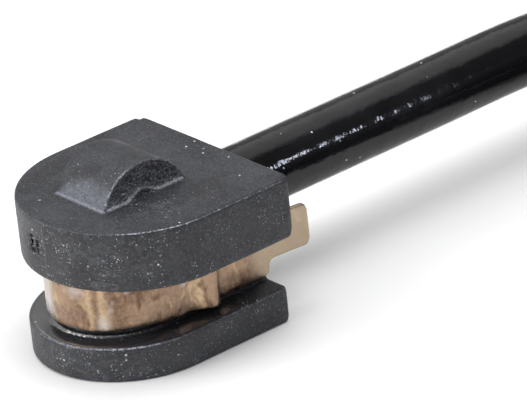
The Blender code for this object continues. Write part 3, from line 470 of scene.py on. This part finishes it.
def link(item, material=None):
    """Put an object in the scene, with its material."""
    bpy.context.scene.collection.objects.link(item)
    if material is not None:
        item.data.materials.clear()
        item.data.materials.append(material)
    return item


def dress(item, slot, *nodes):
    """Let a piece ride on the part and hide the nodes that it stands for; the finish's name, slot, is not
    used.
    """
    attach(item, "root")
    if nodes:
        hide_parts(*nodes)
    return item


def read(mesh, what, width=3):
    """A mesh's coordinates or normals as an array."""
    values = np.zeros(len(mesh.vertices) * width)
    mesh.vertices.foreach_get(what, values)
    return values.reshape(-1, width)


def paint(mesh, name, values):
    """Store one value for each vertex under a name."""
    layer = mesh.attributes.new(name, "FLOAT", "POINT")
    layer.data.foreach_set("value", np.clip(values, 0.0, 1.0).astype(np.float32))


def ease(value):
    """Ease from 0 to 1, for arrays."""
    value = np.clip(value, 0.0, 1.0)
    return value * value * (3 - 2 * value)


def noise_at(places, size, seed):
    """Smooth noise from -1 to 1 at each place."""
    shift = Vector((seed * 3.7, seed * 1.9, seed * 5.3))
    return np.array([noise.noise(Vector(p) / size + shift) for p in places])


def remeshed(node, name, voxel, smoothing):
    """A fine, even mesh of a node's own form, with its edges softened."""
    rough = bpy.data.objects.new(name, NODES[node].data.copy())
    bm = bmesh.new()
    bm.from_mesh(rough.data)
    bmesh.ops.remove_doubles(bm, verts=bm.verts, dist=0.0005 * MM)
    bm.to_mesh(rough.data)
    bm.free()
    link(rough)
    remesh = rough.modifiers.new("remesh", "REMESH")
    remesh.mode = "VOXEL"
    remesh.voxel_size = voxel
    soften = rough.modifiers.new("soften", "SMOOTH")
    soften.factor = 0.5
    soften.iterations = smoothing
    graph = bpy.context.evaluated_depsgraph_get()
    mesh = bpy.data.meshes.new_from_object(rough.evaluated_get(graph))
    bpy.data.objects.remove(rough)
    mesh.name = name
    return mesh


def bulge(mesh):
    """How far each vertex stands proud of its neighbours' middle, along its normal."""
    places = read(mesh, "co")
    normals = read(mesh, "normal")
    ends = np.zeros(len(mesh.edges) * 2, int)
    mesh.edges.foreach_get("vertices", ends)
    ends = ends.reshape(-1, 2)
    total = np.zeros_like(places)
    count = np.zeros(len(places))
    for a, b in ((0, 1), (1, 0)):
        np.add.at(total, ends[:, a], places[ends[:, b]])
        np.add.at(count, ends[:, a], 1)
    middle = total / count[:, None]
    return np.einsum("ij,ij->i", places - middle, normals)


def around(value, middle, width):
    """A soft hill of height 1."""
    return np.exp(-((value - middle) / width) ** 2)


# The head's moulding: what the fine mesh adds to the frame's form
HEAD_VOXEL = 0.12 * MM
PEDESTAL_TOP = 2.83 * MM
PEDESTAL_RADIUS = 4.72 * MM
PEDESTAL_REAR = 7.3 * MM
NECK_NOSE_Y = -2.05 * MM
SCOOP_DEPTH = 1.1 * MM
SCOOP_HALF_LENGTH = 3.15 * MM
SCOOP_SILL = 0.12 * MM
SCOOP_RIM = 0.18 * MM
LIP_RISE = 0.55 * MM
LIP_HALF_WIDTH = 1.5 * MM
LIP_Y = -0.75 * MM
GATE_ANGLE = math.radians(263)
GATE_Z = 9.25 * MM
GATE_HALF = (0.9 * MM, 0.74 * MM)
SMOOTH_FLOOR_END_Y = 2.4 * MM
JACKET_GAP = 0.04 * MM
BLOCK_CORNER_ROUND = 0.72 * MM
PLATE_CORNER_ROUND = 0.5 * MM

# Where flecks crowd as painted glints, mostly on walls that face the light: direction in degrees, spread,
# share
WALL_GLINTS = (-56.0, 36.0, 1.0)
SIDE_GLINTS = (-8.0, 25.0, 0.25)
TOP_GLINTS = (4.3 * MM, -1.5 * MM, 1.5 * MM)
FLOOR_GLINTS = (4.3 * MM, 1.7 * MM, 0.9)
# Where the edge lines' painted highlight is brightest: direction in degrees, spread
TOP_EDGE_LIT = (-26.0, 24.0)
PLATE_EDGE_LIT = (-50.0, 38.0)


def sill_height(y):
    """Height of the hollow's lip above the block's top, along the hump's end."""
    across = np.clip((y - LIP_Y) / LIP_HALF_WIDTH, -1.0, 1.0)
    return SCOOP_SILL + LIP_RISE * 0.5 * (1 + np.cos(math.pi * across))


def hump_foot(y, z):
    """The line where the hump's front meets the block's top."""
    foot_y = HUMP_Y - HUMP_HALF_LENGTH
    return around(z, BLOCK_TOP + 0.08 * MM, 0.08 * MM) * around(y, foot_y + 0.03 * MM, 0.12 * MM)


def hump_marks(places, normals, edge):
    """The hollow in the hump's right end, the scuffed front, and the pale lines of wear and painted
    highlight on the hollow's rim and lip.
    """
    x, y, z = places.T
    front_x = HUMP_END_X + 0.15 * MM
    height = HUMP_HEIGHT - SCOOP_RIM - SCOOP_SILL
    egg = ((x - front_x) / SCOOP_DEPTH) ** 2 + ((y - HUMP_Y) / SCOOP_HALF_LENGTH) ** 2
    egg += ((z - BLOCK_TOP - SCOOP_SILL) / height) ** 2
    above = (z > BLOCK_TOP + 0.5 * SCOOP_SILL) & (x < HUMP_END_X - 0.02 * MM)
    hollow = ease((1.22 - egg) / 0.14) * above * (1 - edge)

    on_hump = ease((z - BLOCK_TOP) / (0.12 * MM)) * (x < HUMP_END_X + 0.1 * MM) * (1 - hollow)
    swirl = 0.35 * MM * noise_at(places, 0.9 * MM, 5)
    scuff = ease((BLOCK_TOP + 1.75 * MM + swirl - z) / (1.35 * MM)) * on_hump * (normals[:, 1] < -0.15)
    scuff *= ease((HUMP_END_X + 0.1 * MM - x) / (0.3 * MM))
    scuff *= ease((x + 2.75 * MM - 0.9 * (z - BLOCK_TOP - 0.3 * MM)) / (0.8 * MM))

    # Rim and lip: pale lines of wear with a painted highlight; the rim's line is stronger towards the lit
    # front
    rim = edge * (np.abs(x - HUMP_END_X) < 0.25 * MM) * (z > BLOCK_TOP + 0.3 * MM)
    rim *= 0.35 + 0.65 * ease((HUMP_Y - 0.3 * MM - y) / (1.5 * MM))
    lip = around(z, BLOCK_TOP + sill_height(y), 0.07 * MM) * around(x, HUMP_END_X + 0.02 * MM, 0.12 * MM)
    lip *= np.abs(y - HUMP_Y) < HUMP_HALF_LENGTH - 0.25 * MM
    lip = np.maximum(lip, hump_foot(y, z) * (np.abs(x - HUMP_X) < HUMP_END_X - HUMP_X) * 0.35)
    return {"hollow": hollow, "scuff": scuff, "rim": rim, "lip": lip}, on_hump


def fleck_glint_mark(places, normals, wall, azimuth, on_hump, scuff):
    """Where the nylon's pale flecks crowd as painted glints, most where the surface faces the light: walls,
    the block's top beside the hump, hump and slot floor.
    """
    x, y, z = places.T
    middle, spread, share = WALL_GLINTS
    glint = share * around(azimuth, middle, spread) * wall * (z < BLOCK_TOP)
    middle, spread, share = SIDE_GLINTS
    glint = np.maximum(glint, share * around(azimuth, middle, spread) * wall)
    middle_x, middle_y, reach = TOP_GLINTS
    patch = around(np.hypot(x - middle_x, 0.8 * (y - middle_y)), 0.0, reach)
    glint = np.maximum(glint, patch * (normals[:, 2] > 0.7) * (z > BLOCK_TOP - 0.1 * MM))
    glint = np.maximum(glint, 0.5 * on_hump * ease((x - 1.0 * MM) / (1.2 * MM)) * (y < HUMP_Y))
    glint = np.maximum(glint, 0.5 * scuff)
    middle, spread, share = FLOOR_GLINTS
    on_floor = (np.abs(z - PLATE_TOP) < 0.15 * MM) * (x > 0)
    return np.maximum(glint, share * around(y, middle, spread) * on_floor)


def gate_marks(places, normals):
    """The mould's gate on the nose, broken off: its ragged patch and the dark pits in it."""
    x, y, z = places.T
    nose_angle = np.arctan2(y / BLOCK_NOSE, x / BLOCK_HALF_WIDTH) - (GATE_ANGLE - 2 * math.pi)
    across = nose_angle * BLOCK_NOSE / GATE_HALF[0]
    up = (z - GATE_Z) / GATE_HALF[1]
    on_wall = (np.abs(normals[:, 2]) < 0.6) & (z > PLATE_TOP + 2 * MM) & (y < -6 * MM)
    reach = (across ** 4 + up ** 4) ** 0.25 + 0.35 * noise_at(places, 0.35 * MM, 6)
    gate = ease((1.12 - reach) / 0.2) * on_wall
    strokes = around(across, -0.55, 0.42) * (np.abs(up) < 0.95)
    strokes = np.maximum(strokes, around(across, 0.2, 0.24) * (np.abs(up + 0.1) < 0.8)) * gate
    return {"gate": gate, "strokes": strokes}


def head_marks(places, normals, edge):
    """Every mark that the head's material reads, by name."""
    y, z = places[:, 1], places[:, 2]
    azimuth = np.degrees(np.arctan2(normals[:, 1], normals[:, 0]))
    wall = ease((0.75 - np.abs(normals[:, 2])) / 0.3)
    marks, on_hump = hump_marks(places, normals, edge)
    marks.update(gate_marks(places, normals))
    marks["glint"] = fleck_glint_mark(places, normals, wall, azimuth, on_hump, marks["scuff"])
    # Directions in which the edge lines carry their painted highlight
    marks["top_edge_lit"] = around(azimuth, *TOP_EDGE_LIT)
    marks["plate_edge_lit"] = around(azimuth, *PLATE_EDGE_LIT)
    marks["seam"] = wall * (y < -5 * MM)
    floor = ease((0.15 * MM - np.abs(z - PLATE_TOP - 0.05 * MM)) / (0.05 * MM)) * (normals[:, 2] > 0.9)
    marks["slot_floor"] = floor * (1 - 0.8 * ease((y - SMOOTH_FLOOR_END_Y) / (1.0 * MM)))
    return marks


def head_relief(places, edge, marks):
    """How far the surface stands out: slight waves, chipped edges, rough hollow and gate, raised lip."""
    y, z = places[:, 1], places[:, 2]
    fine = noise_at(places, 0.33 * MM, 2)
    lift = 0.012 * MM * noise_at(places, 2.4 * MM, 1)
    lift -= 0.035 * MM * edge * np.clip(fine + 0.1, 0, 1)
    lift += 0.06 * MM * marks["hollow"] * fine
    lift += 0.05 * MM * marks["lip"] * (1 - hump_foot(y, z))
    lift -= marks["gate"] * (0.03 * MM + 0.06 * MM * noise_at(places, 0.24 * MM, 3))
    return lift


def seat_neighbours(places, normals):
    """Raise the pedestal under the clip, and close the head's rear around the cable's jacket."""
    x, y, z = places.T
    from_axis = np.hypot(x, np.minimum(y - NECK_NOSE_Y, 0.0))
    on_pedestal = (from_axis < PEDESTAL_RADIUS) & (np.abs(z - PLATE_TOP - 0.05 * MM) < 0.12 * MM)
    on_pedestal &= (normals[:, 2] > 0.3) & (y < PEDESTAL_REAR)
    places[:, 2] = np.where(on_pedestal, PEDESTAL_TOP, places[:, 2])

    spread = np.hypot(places[:, 0], places[:, 2] - CABLE_Z)
    seat = (spread < CABLE_RADIUS + 0.45 * MM) & (places[:, 1] > JACKET_START_Y)
    tight = (CABLE_RADIUS + JACKET_GAP) / np.maximum(spread, 1e-9)
    for axis, centre in ((0, 0.0), (2, CABLE_Z)):
        moved = centre + (places[:, axis] - centre) * tight
        places[:, axis] = np.where(seat, moved, places[:, axis])


def round_corners(places, half_width, rear, corner, low, high, radius):
    """Round the edges above and below a block's two rear corners, most at the middle of each corner."""
    out = np.stack((np.abs(places[:, 0]) - half_width + corner, places[:, 1] - rear + corner))
    z = places[:, 2]
    inside = (out.min(axis=0) > 0) & (z > low - 0.15 * MM) & (z < high + 0.15 * MM)
    reach = np.where(inside, np.hypot(out[0], out[1]), 1.0)
    swell = radius * np.sin(2 * np.arctan2(out[1], out[0])) ** 2
    sides = np.where(places[:, 0] < 0, -1.0, 1.0)
    for face, up in ((high, 1), (low, -1)):
        level = np.maximum(reach - corner + swell, 0.0)
        rise = np.maximum(up * (z - face) + swell, 0.0)
        far = np.hypot(level, rise)
        pulled = inside & (level > 0) & (rise > 0) & (far > swell)
        share = np.where(pulled, swell / np.maximum(far, 1e-9), 1.0)
        moved = np.where(pulled, reach - level * (1 - share), reach)
        places[:, 0] = np.where(pulled, sides * (half_width - corner + out[0] * moved / reach), places[:, 0])
        places[:, 1] = np.where(pulled, rear - corner + out[1] * moved / reach, places[:, 1])
        places[:, 2] = np.where(pulled, z - up * rise * (1 - share), z)


def make_head():
    """The head's moulding: a fine mesh of the frame's form, with worn edges, hollow and gate mark."""
    mesh = remeshed("head_housing", "head_moulding", HEAD_VOXEL, 2)
    places = read(mesh, "co")
    normals = read(mesh, "normal")
    edge = ease((bulge(mesh) / HEAD_VOXEL - 0.05) / 0.12)
    marks = head_marks(places, normals, edge)
    places += normals * head_relief(places, edge, marks)[:, None]
    seat_neighbours(places, normals)
    round_corners(places, BLOCK_HALF_WIDTH, BLOCK_REAR, BLOCK_CORNER, BLOCK_LOW, BLOCK_TOP,
                  BLOCK_CORNER_ROUND)
    round_corners(places, PLATE_HALF_WIDTH, PLATE_REAR, PLATE_CORNER, 0.0, PLATE_TOP, PLATE_CORNER_ROUND)
    places = np.clip(places, np.array(HEAD_LOW), np.array(HEAD_HIGH))
    mesh.vertices.foreach_set("co", places.ravel())
    mesh.update()
    mesh.shade_smooth()
    for name, values in marks.items():
        paint(mesh, name, values)
    head = link(bpy.data.objects.new("head_moulding", mesh), head_material())
    return dress(head, "head_nylon", "head_housing")


# Spring clip, in the frame's sizes
STRIP = 0.35 * MM
STRIP_ROUND = 0.09 * MM
NOSE_INNER = 4.58 * MM
NOSE_RISE = 0.25 * MM
LEG_X = 4.8 * MM
DETENT_FOOT_Y = 2.4 * MM
DETENT = [(LEG_X, 0.4 * MM), (LEG_X + 1.05 * MM, 1.87 * MM), (LEG_X, DETENT_FOOT_Y)]
DETENT_BEND = 0.28 * MM
LEG_END_Y = 7.35 * MM
TAB_START_Y = 8.2 * MM
TAB_END_Y = 10.9 * MM
TAB_FLARE = 0.3 * MM
STRIP_LOW = 3.0 * MM
STRIP_HIGH = 6.52 * MM
TAB_LOW = 4.1 * MM
TAB_HIGH = 7.27 * MM
LEG_CORNER = 0.45 * MM
LOW_SPOT = math.radians(31.0)

# Creases in the strip, each with a painted highlight: direction in degrees, depth, width; brown patches:
# turn, spread, share
CREASES = [(-83.7, 0.03 * MM, 0.35 * MM), (-69.5, 0.07 * MM, 0.24 * MM), (-58.8, 0.06 * MM, 0.3 * MM)]
TARNISH = [(44.5, 9.0, 0.8), (25.0, 3.5, 0.5), (6.0, 6.0, 0.45)]


def bend_path(points, reach, steps=6):
    """Round the inner corners of a flat path."""
    corners = [Vector(p) for p in points]
    path = [corners[0]]
    for before, corner, after in zip(corners, corners[1:], corners[2:]):
        start = corner + (before - corner).normalized() * reach
        stop = corner + (after - corner).normalized() * reach
        for i in range(steps + 1):
            t = i / steps
            path.append(start * (1 - t) ** 2 + corner * (2 * t * (1 - t)) + stop * t * t)
    path.append(corners[-1])
    return path


def strip_path(spacing):
    """The strip's inner face in plan, from the left tab round the nose to the right tab."""
    arc = []
    steps = 60
    for i in range(steps):
        angle = math.radians(-90 + 90 * i / steps)
        arc.append(Vector((NOSE_INNER * math.cos(angle), NECK_NOSE_Y + NOSE_INNER * math.sin(angle))))
    leg = [(LEG_X, -1.0 * MM)] + DETENT + [(LEG_X, LEG_END_Y), (LEG_X, TAB_START_Y)]
    leg.append((LEG_X + TAB_FLARE, TAB_END_Y))
    half = arc + bend_path(leg, DETENT_BEND)
    whole = [Vector((-p.x, p.y)) for p in reversed(half[1:])] + half
    return smooth_route([(p.x, p.y, 0.0) for p in whole], spacing)


def corner_gap(distance, radius):
    """How far a rounded corner stands in at a distance from the end."""
    if distance >= radius:
        return 0.0
    return radius - math.sqrt(max(0.0, radius ** 2 - (radius - distance) ** 2))


def strip_span(y):
    """Lowest and highest edge of the strip at a place along its leg."""
    low, high = STRIP_LOW, STRIP_HIGH
    low += NOSE_RISE * (1 - smooth_step((y + 3.7 * MM) / (2.1 * MM)))
    if y < LEG_END_Y:
        low += corner_gap(LEG_END_Y - y, LEG_CORNER)
    else:
        low = TAB_LOW - corner_gap(y - LEG_END_Y, LEG_CORNER)
    if y > TAB_START_Y:
        high = TAB_HIGH - corner_gap(y - TAB_START_Y, 0.3 * MM)
    end_gap = corner_gap(TAB_END_Y - y, LEG_CORNER)
    return low + end_gap, high - end_gap


def strip_section(low, high):
    """Closed section of the strip: (offset from the inner face, height)."""
    rows = 12
    curve = 3
    r = STRIP_ROUND
    section = []
    corners = [((STRIP - r, low + r), -90.0), ((STRIP - r, high - r), 0.0), ((r, high - r), 90.0),
               ((r, low + r), 180.0)]
    for i, (centre, start) in enumerate(corners):
        for j in range(curve + 1):
            angle = math.radians(start + 90.0 * j / curve)
            section.append((centre[0] + r * math.cos(angle), centre[1] + r * math.sin(angle)))
        if i in (0, 2):
            first = section[-1]
            last_z = corners[(i + 1) % 4][0][1]
            for j in range(1, rows):
                section.append((first[0], first[1] + (last_z - first[1]) * j / rows))
    return section


def strip_creases(from_middle):
    """How far the creases push the strip out, and how strong their painted highlight is, at a distance from
    its middle.
    """
    wave = 0.0
    golden = 0.0
    for angle, depth, width in CREASES:
        hill = around(from_middle, math.radians(angle + 90) * NOSE_INNER, width)
        wave += depth * hill
        golden = max(golden, 0.75 * hill * (angle > -80))
    return wave, golden


def strip_tarnish(turn):
    """Brown patches along the strip, at an angle in degrees from its middle."""
    return max(share * around(turn, middle, width) for middle, width, share in TARNISH)


def strip_tones(place, from_middle, golden, low, high):
    """A function that gives the strip's marks at a height, for one place along the strip."""
    turn = math.degrees(from_middle / NOSE_INNER)
    # A painted highlight on the detent's flank, beside the creases' ones
    golden = max(golden, 0.8 * around(place.y, 1.0 * MM, 0.3 * MM))
    # Painted reflection of the bright left on the nose's left side, and a painted highlight low on the strip
    side = 0.8 * smooth_step((-15.0 - turn) / 10.0) * smooth_step((turn + 75.0) / 20.0)
    low_spot = 0.75 * around(from_middle, LOW_SPOT * NOSE_INNER, 0.35 * MM)
    wander = 0.3 * MM * noise.noise(Vector((place.x, place.y, 0.0)) / (0.9 * MM))
    # Painted shade on the leg behind the detent, and lower down a painted dark reflection of the plate
    corner = smooth_step((DETENT_FOOT_Y + 1.0 * MM - place.y) / (0.8 * MM))
    shade = smooth_step((place.y - DETENT_FOOT_Y + 0.15 * MM) / (0.2 * MM))
    shade *= smooth_step((LEG_END_Y - 0.1 * MM - place.y) / (1.8 * MM))
    tarnish = strip_tarnish(turn)
    # Painted shade along the strip's top on the nose's right, under the block
    top_shaded_side = smooth_step((turn - 28.0) / 12.0) * (place.y < 0)
    clean = smooth_step((place.y - DETENT_FOOT_Y - 2.6 * MM) / (1.8 * MM))

    def at(z):
        foot = smooth_step((low + 1.9 * MM + wander - z) / (1.5 * MM))
        top = smooth_step((z - high + 1.5 * MM + wander) / (1.1 * MM))
        pale = max(side, low_spot * smooth_step((low + 1.5 * MM - z) / (1.0 * MM)))
        return {"painted_highlight": golden, "pale": pale, "dark": shade * max(corner, foot),
                "brown": max(tarnish, top * top_shaded_side), "clean": clean}
    return at


def make_clip():
    """The bronze strip, swept round the neck, with its creases, waves and soft edges."""
    route, length = strip_path(0.13 * MM)
    marks = {"painted_highlight": [], "pale": [], "dark": [], "brown": [], "clean": []}
    bm = bmesh.new()
    loops = []
    travelled = 0.0
    for i, place in enumerate(route):
        before = route[max(0, i - 1)]
        after = route[min(len(route) - 1, i + 1)]
        travelled += (place - before).length
        along = (after - before).normalized()
        outward = Vector((along.y, -along.x, 0.0))
        from_middle = travelled - length / 2
        wave, golden = strip_creases(from_middle)
        low, high = strip_span(min(place.y, TAB_END_Y))
        tones = strip_tones(place, from_middle, golden, low, high)
        loop = []
        for offset, z in strip_section(low, high):
            for name, value in tones(z).items():
                marks[name].append(value)
            spot = Vector((place.x, place.y, z))
            ripple = 0.035 * MM * noise.noise(spot / (1.6 * MM)) + 0.01 * MM * noise.noise(spot / (0.5 * MM))
            loop.append(bm.verts.new(spot + outward * (offset + wave + ripple)))
        loops.append(loop)
    join_loops(bm, loops)
    bmesh.ops.recalc_face_normals(bm, faces=bm.faces)
    mesh = bpy.data.meshes.new("clip_strip")
    bm.to_mesh(mesh)
    bm.free()
    for name, values in marks.items():
        paint(mesh, name, np.array(values))
    mesh.shade_smooth()
    mesh.set_sharp_from_angle(angle=math.radians(50))
    clip = link(bpy.data.objects.new("clip_strip", mesh), bronze_material())
    return dress(clip, "spring_bronze", "spring_clip")


# The coil's tie, in the frame's sizes
TIE_THICKNESS = 0.6 * MM
TIE_OFFSET = 0.1 * MM
TIE_REACH = 0.9 * MM
TIE_WIDTH = 2.6 * MM
TIE_STRAP_ROUND = 0.22 * MM
TIE_ANGLE = math.radians(72)
TIE_HEAD = (3.8 * MM, 4.6 * MM, 2.6 * MM)
TIE_HEAD_Z = 12.07 * MM
TIE_HEAD_ROUND = 0.4 * MM
TIE_TAIL_X = 5.9 * MM
TIE_TAIL_DROP = 0.6 * MM
TIE_TAIL_ROUND = 0.12 * MM
TIE_TOOTH = 0.5 * MM
TIE_TOOTH_DEPTH = 0.13 * MM

# The mouths on two sides of the tie's head, and the dish in its top: direction, rim, depth
TIE_HOLES = [((1, 0, 0), 0.22 * MM, 0.5 * MM), ((-1, 0, 0), 0.22 * MM, 0.5 * MM),
             ((0, 0, 1), 0.6 * MM, 0.2 * MM)]


def rounded_loop(low, high, radius, curve=3):
    """Closed loop round a rectangle between two corners."""
    loop = []
    corners = [((high[0], low[1]), (-1, 1), -90.0), (high, (-1, -1), 0.0),
               ((low[0], high[1]), (1, -1), 90.0), (low, (1, 1), 180.0)]
    for corner, inward, start in corners:
        for i in range(curve + 1):
            angle = math.radians(start + 90.0 * i / curve)
            loop.append((corner[0] + radius * (inward[0] + math.cos(angle)),
                         corner[1] + radius * (inward[1] + math.sin(angle))))
    return loop


def join_loops(bm, loops, closed=False):
    """Skin a row of loops, with a face at each end unless the row closes on itself."""
    following = loops[1:] + loops[:1] if closed else loops[1:]
    for first, second in zip(loops, following):
        for j, corner in enumerate(first):
            bm.faces.new((first[j - 1], second[j - 1], second[j], corner))
    if not closed:
        bm.faces.new(loops[0])
        bm.faces.new(loops[-1])


def tie_head(bm):
    """The tie's head: a rounded box with a mouth on two sides and a dished top."""
    place = Matrix.Translation((0.0, 0.0, TIE_HEAD_Z)) @ Matrix.Diagonal((*TIE_HEAD, 1.0))
    bmesh.ops.create_cube(bm, size=1.0, matrix=place)
    bmesh.ops.bevel(bm, geom=list(bm.edges), offset=TIE_HEAD_ROUND, segments=4, profile=0.5, affect="EDGES")
    for towards, rim, depth in TIE_HOLES:
        bm.normal_update()
        face = max(bm.faces, key=lambda f: f.normal.dot(Vector(towards)) * f.calc_area())
        bmesh.ops.inset_region(bm, faces=[face], thickness=rim)
        bmesh.ops.inset_region(bm, faces=[face], thickness=0.1 * MM, depth=-depth)


def tie_band(bm):
    """The strap round the coil's three turns."""
    lean = math.degrees(math.atan2(COIL_PITCH / 2, COIL_TOP_Z - COIL_Z))
    turns = [(COIL_PITCH / 2, COIL_Z, -90.0, lean), (0.0, COIL_TOP_Z, lean, 180.0 - lean),
             (-COIL_PITCH / 2, COIL_Z, 180.0 - lean, 270.0)]
    section = rounded_loop((TIE_OFFSET, -TIE_WIDTH / 2), (TIE_REACH, TIE_WIDTH / 2), TIE_STRAP_ROUND)
    loops = []
    steps = 14
    for across, up, start, stop in turns:
        for i in range(steps + 1):
            angle = math.radians(start + (stop - start) * i / steps)
            loops.append([bm.verts.new((across + (CABLE_RADIUS + a) * math.cos(angle), b,
                                        up + (CABLE_RADIUS + a) * math.sin(angle))) for a, b in section])
    join_loops(bm, loops, closed=True)


def tie_tail(bm):
    """The strap's cut end, with teeth along its underside."""
    half = TIE_THICKNESS / 2
    across = TIE_WIDTH / 2 - 0.3 * MM
    loops = []
    teeth = int((TIE_TAIL_X - 1.3 * MM) / TIE_TOOTH)
    for i in range(teeth):
        for share in (0.0, 0.35, 0.7, 0.98):
            x = TIE_TAIL_X - (teeth - i - share) * TIE_TOOTH
            low = -half + TIE_TOOTH_DEPTH * share
            middle = TIE_HEAD_Z - TIE_TAIL_DROP * x / TIE_TAIL_X
            section = rounded_loop((low, -across), (half, across), TIE_TAIL_ROUND)
            loops.append([bm.verts.new((x, b, middle + a)) for a, b in section])
    join_loops(bm, loops)


def make_tie(material):
    """The tie: strap, head and cut end."""
    bm = bmesh.new()
    tie_head(bm)
    tie_band(bm)
    tie_tail(bm)
    bmesh.ops.recalc_face_normals(bm, faces=bm.faces)
    outward = Vector((math.cos(TIE_ANGLE), math.sin(TIE_ANGLE), 0.0))
    centre = Vector((COIL_X, COIL_Y, 0.0)) + outward * COIL_RADIUS
    bm.transform(Matrix.Translation(centre) @ Matrix.Rotation(TIE_ANGLE, 4, "Z"))
    mesh = bpy.data.meshes.new("tie_strap")
    bm.to_mesh(mesh)
    bm.free()
    mesh.shade_smooth()
    mesh.set_sharp_from_angle(angle=math.radians(35))
    tie = link(bpy.data.objects.new("tie_strap", mesh), material)
    return dress(tie, "tie_nylon", "coil_tie")


def make_cable(jacket):
    """The cord: one curve from inside the head through the coil to the plug."""
    points = smooth_route(cable_route(), 1.2 * MM)[0]
    curve = bpy.data.curves.new("cable", "CURVE")
    curve.dimensions = "3D"
    curve.bevel_depth = CABLE_RADIUS
    curve.bevel_resolution = 10
    curve.use_fill_caps = True
    spline = curve.splines.new("POLY")
    spline.points.add(len(points) - 1)
    for point, place in zip(spline.points, points):
        point.co = (*place, 1.0)
    spline.use_smooth = True
    cable = link(bpy.data.objects.new("cable", curve), jacket)
    return dress(cable, "cable_jacket", "cable_run", "cable_coil", "cable_tail")


def make_floor():
    """A wide pale floor under the part."""
    bm = bmesh.new()
    bmesh.ops.create_grid(bm, x_segments=8, y_segments=8, size=4.0)
    mesh = bpy.data.meshes.new("floor")
    bm.to_mesh(mesh)
    bm.free()
    floor = link(bpy.data.objects.new("floor", mesh), floor_material())
    return floor


def make_light(name, place, target, size, power, colour=(1.0, 1.0, 1.0), mirrored=True):
    """A soft box that points at a target; one that isn't mirrored leaves no highlight."""
    data = bpy.data.lights.new(name, "AREA")
    data.shape = "RECTANGLE"
    data.size, data.size_y = size
    data.energy = power
    data.color = colour
    lamp = bpy.data.objects.new(name, data)
    lamp.visible_camera = False
    lamp.visible_glossy = mirrored
    bpy.context.scene.collection.objects.link(lamp)
    lamp.location = place
    lamp.rotation_mode = "QUATERNION"
    lamp.rotation_quaternion = (Vector(target) - Vector(place)).to_track_quat("-Z", "Y")
    return lamp


def make_world():
    """White overhead and on the picture's left, dim before and behind the part, dark on the right."""
    world = bpy.data.worlds.new("studio")
    bpy.context.scene.world = world
    world.use_nodes = True
    tree = world.node_tree
    background = tree.nodes["Background"]
    direction = tree.nodes.new("ShaderNodeTexCoord").outputs["Generated"]

    def towards(vector, low, high):
        dot = tree.nodes.new("ShaderNodeVectorMath")
        dot.operation = "DOT_PRODUCT"
        tree.links.new(direction, dot.inputs[0])
        dot.inputs[1].default_value = vector
        step = tree.nodes.new("ShaderNodeMapRange")
        step.interpolation_type = "SMOOTHSTEP"
        tree.links.new(dot.outputs["Value"], step.inputs["Value"])
        step.inputs["From Min"].default_value = low
        step.inputs["From Max"].default_value = high
        return step.outputs["Result"]

    overhead = towards((-0.35, 0.19, 0.92), 0.7, 0.86)
    left = towards((-0.62, -0.78, 0.1), -0.1, 1.3)
    behind = towards((-0.79, 0.61, 0.0), 0.4, 2.2)
    before = towards((0.6, -0.79, 0.1), 0.2, 2.8)
    brightest = overhead
    for side in (left, behind, before):
        larger = tree.nodes.new("ShaderNodeMath")
        larger.operation = "MAXIMUM"
        tree.links.new(brightest, larger.inputs[0])
        tree.links.new(side, larger.inputs[1])
        brightest = larger.outputs["Value"]
    strength = tree.nodes.new("ShaderNodeMapRange")
    tree.links.new(brightest, strength.inputs["Value"])
    strength.inputs["To Min"].default_value = 0.12
    strength.inputs["To Max"].default_value = 1.2
    tree.links.new(strength.outputs["Result"], background.inputs["Strength"])
    background.inputs["Color"].default_value = (1.0, 1.0, 1.0, 1.0)


def dress_nodes(names, material):
    """Give the frame's own nodes a material."""
    for name in names:
        item = NODES[name]
        if not item.material_slots:
            item.data.materials.append(material)
        for place in item.material_slots:
            place.material = material


make_camera()
bpy.context.scene.view_settings.view_transform = "Standard"

JACKET = jacket_material()
TIE_NYLON = moulded_material("tie_nylon", (0.018, 0.018, 0.018), (0.034, 0.034, 0.035), 0.34)
cable = make_cable(JACKET)
tie = make_tie(TIE_NYLON)

make_head()
make_clip()

PLUG_PLASTIC = moulded_material("plug_plastic", (0.014, 0.014, 0.015), (0.024, 0.024, 0.026), 0.4)
LOCK_PLASTIC = moulded_material("lock_plastic", (0.42, 0.15, 0.02), (0.55, 0.23, 0.035), 0.36)
SEAL_RUBBER = moulded_material("seal_rubber", (0.33, 0.065, 0.03), (0.44, 0.1, 0.045), 0.48)
CORE_BROWN = moulded_material("core_brown", (0.085, 0.033, 0.014), (0.13, 0.055, 0.025), 0.4)
CORE_YELLOW = moulded_material("core_yellow", (0.52, 0.36, 0.04), (0.66, 0.5, 0.08), 0.4)
COPPER = metal_material("bare_copper", (0.62, 0.28, 0.15), (0.8, 0.42, 0.26), 0.25, (1.0, 0.2, 1.0))
TIN = metal_material("tinned_brass", (0.55, 0.53, 0.48), (0.68, 0.66, 0.6), 0.25, (1.0, 0.2, 1.0))

dress_nodes(["plug_housing"], PLUG_PLASTIC)
dress_nodes(["secondary_lock"], LOCK_PLASTIC)
dress_nodes(["interface_seal", "wire_seal_left", "wire_seal_right"], SEAL_RUBBER)
dress_nodes(["coil_tie"], TIE_NYLON)
dress_nodes(["head_core_left", "tail_core_left"], CORE_BROWN)
dress_nodes(["head_core_right", "tail_core_right"], CORE_YELLOW)
dress_nodes(["wear_loop", "head_conductor_left", "head_conductor_right", "tail_conductor_left",
             "tail_conductor_right"], COPPER)
dress_nodes(["splice_sleeve_left", "splice_sleeve_right", "terminal_left", "terminal_right"], TIN)

make_floor()
make_world()
make_light("left_box", (-0.35, -0.55, 0.45), (0.0, 0.0, 0.005), (0.5, 0.4), 2.2)
make_light("top_box", (0.1, 0.1, 0.7), (0.0, 0.0, 0.0), (0.6, 0.6), 3.4, mirrored=False)
make_light("cable_glint", (0.116, 0.095, 0.059), (0.002, 0.012, 0.009), (0.006, 0.024), 0.018,
           colour=(0.8, 0.84, 1.0))
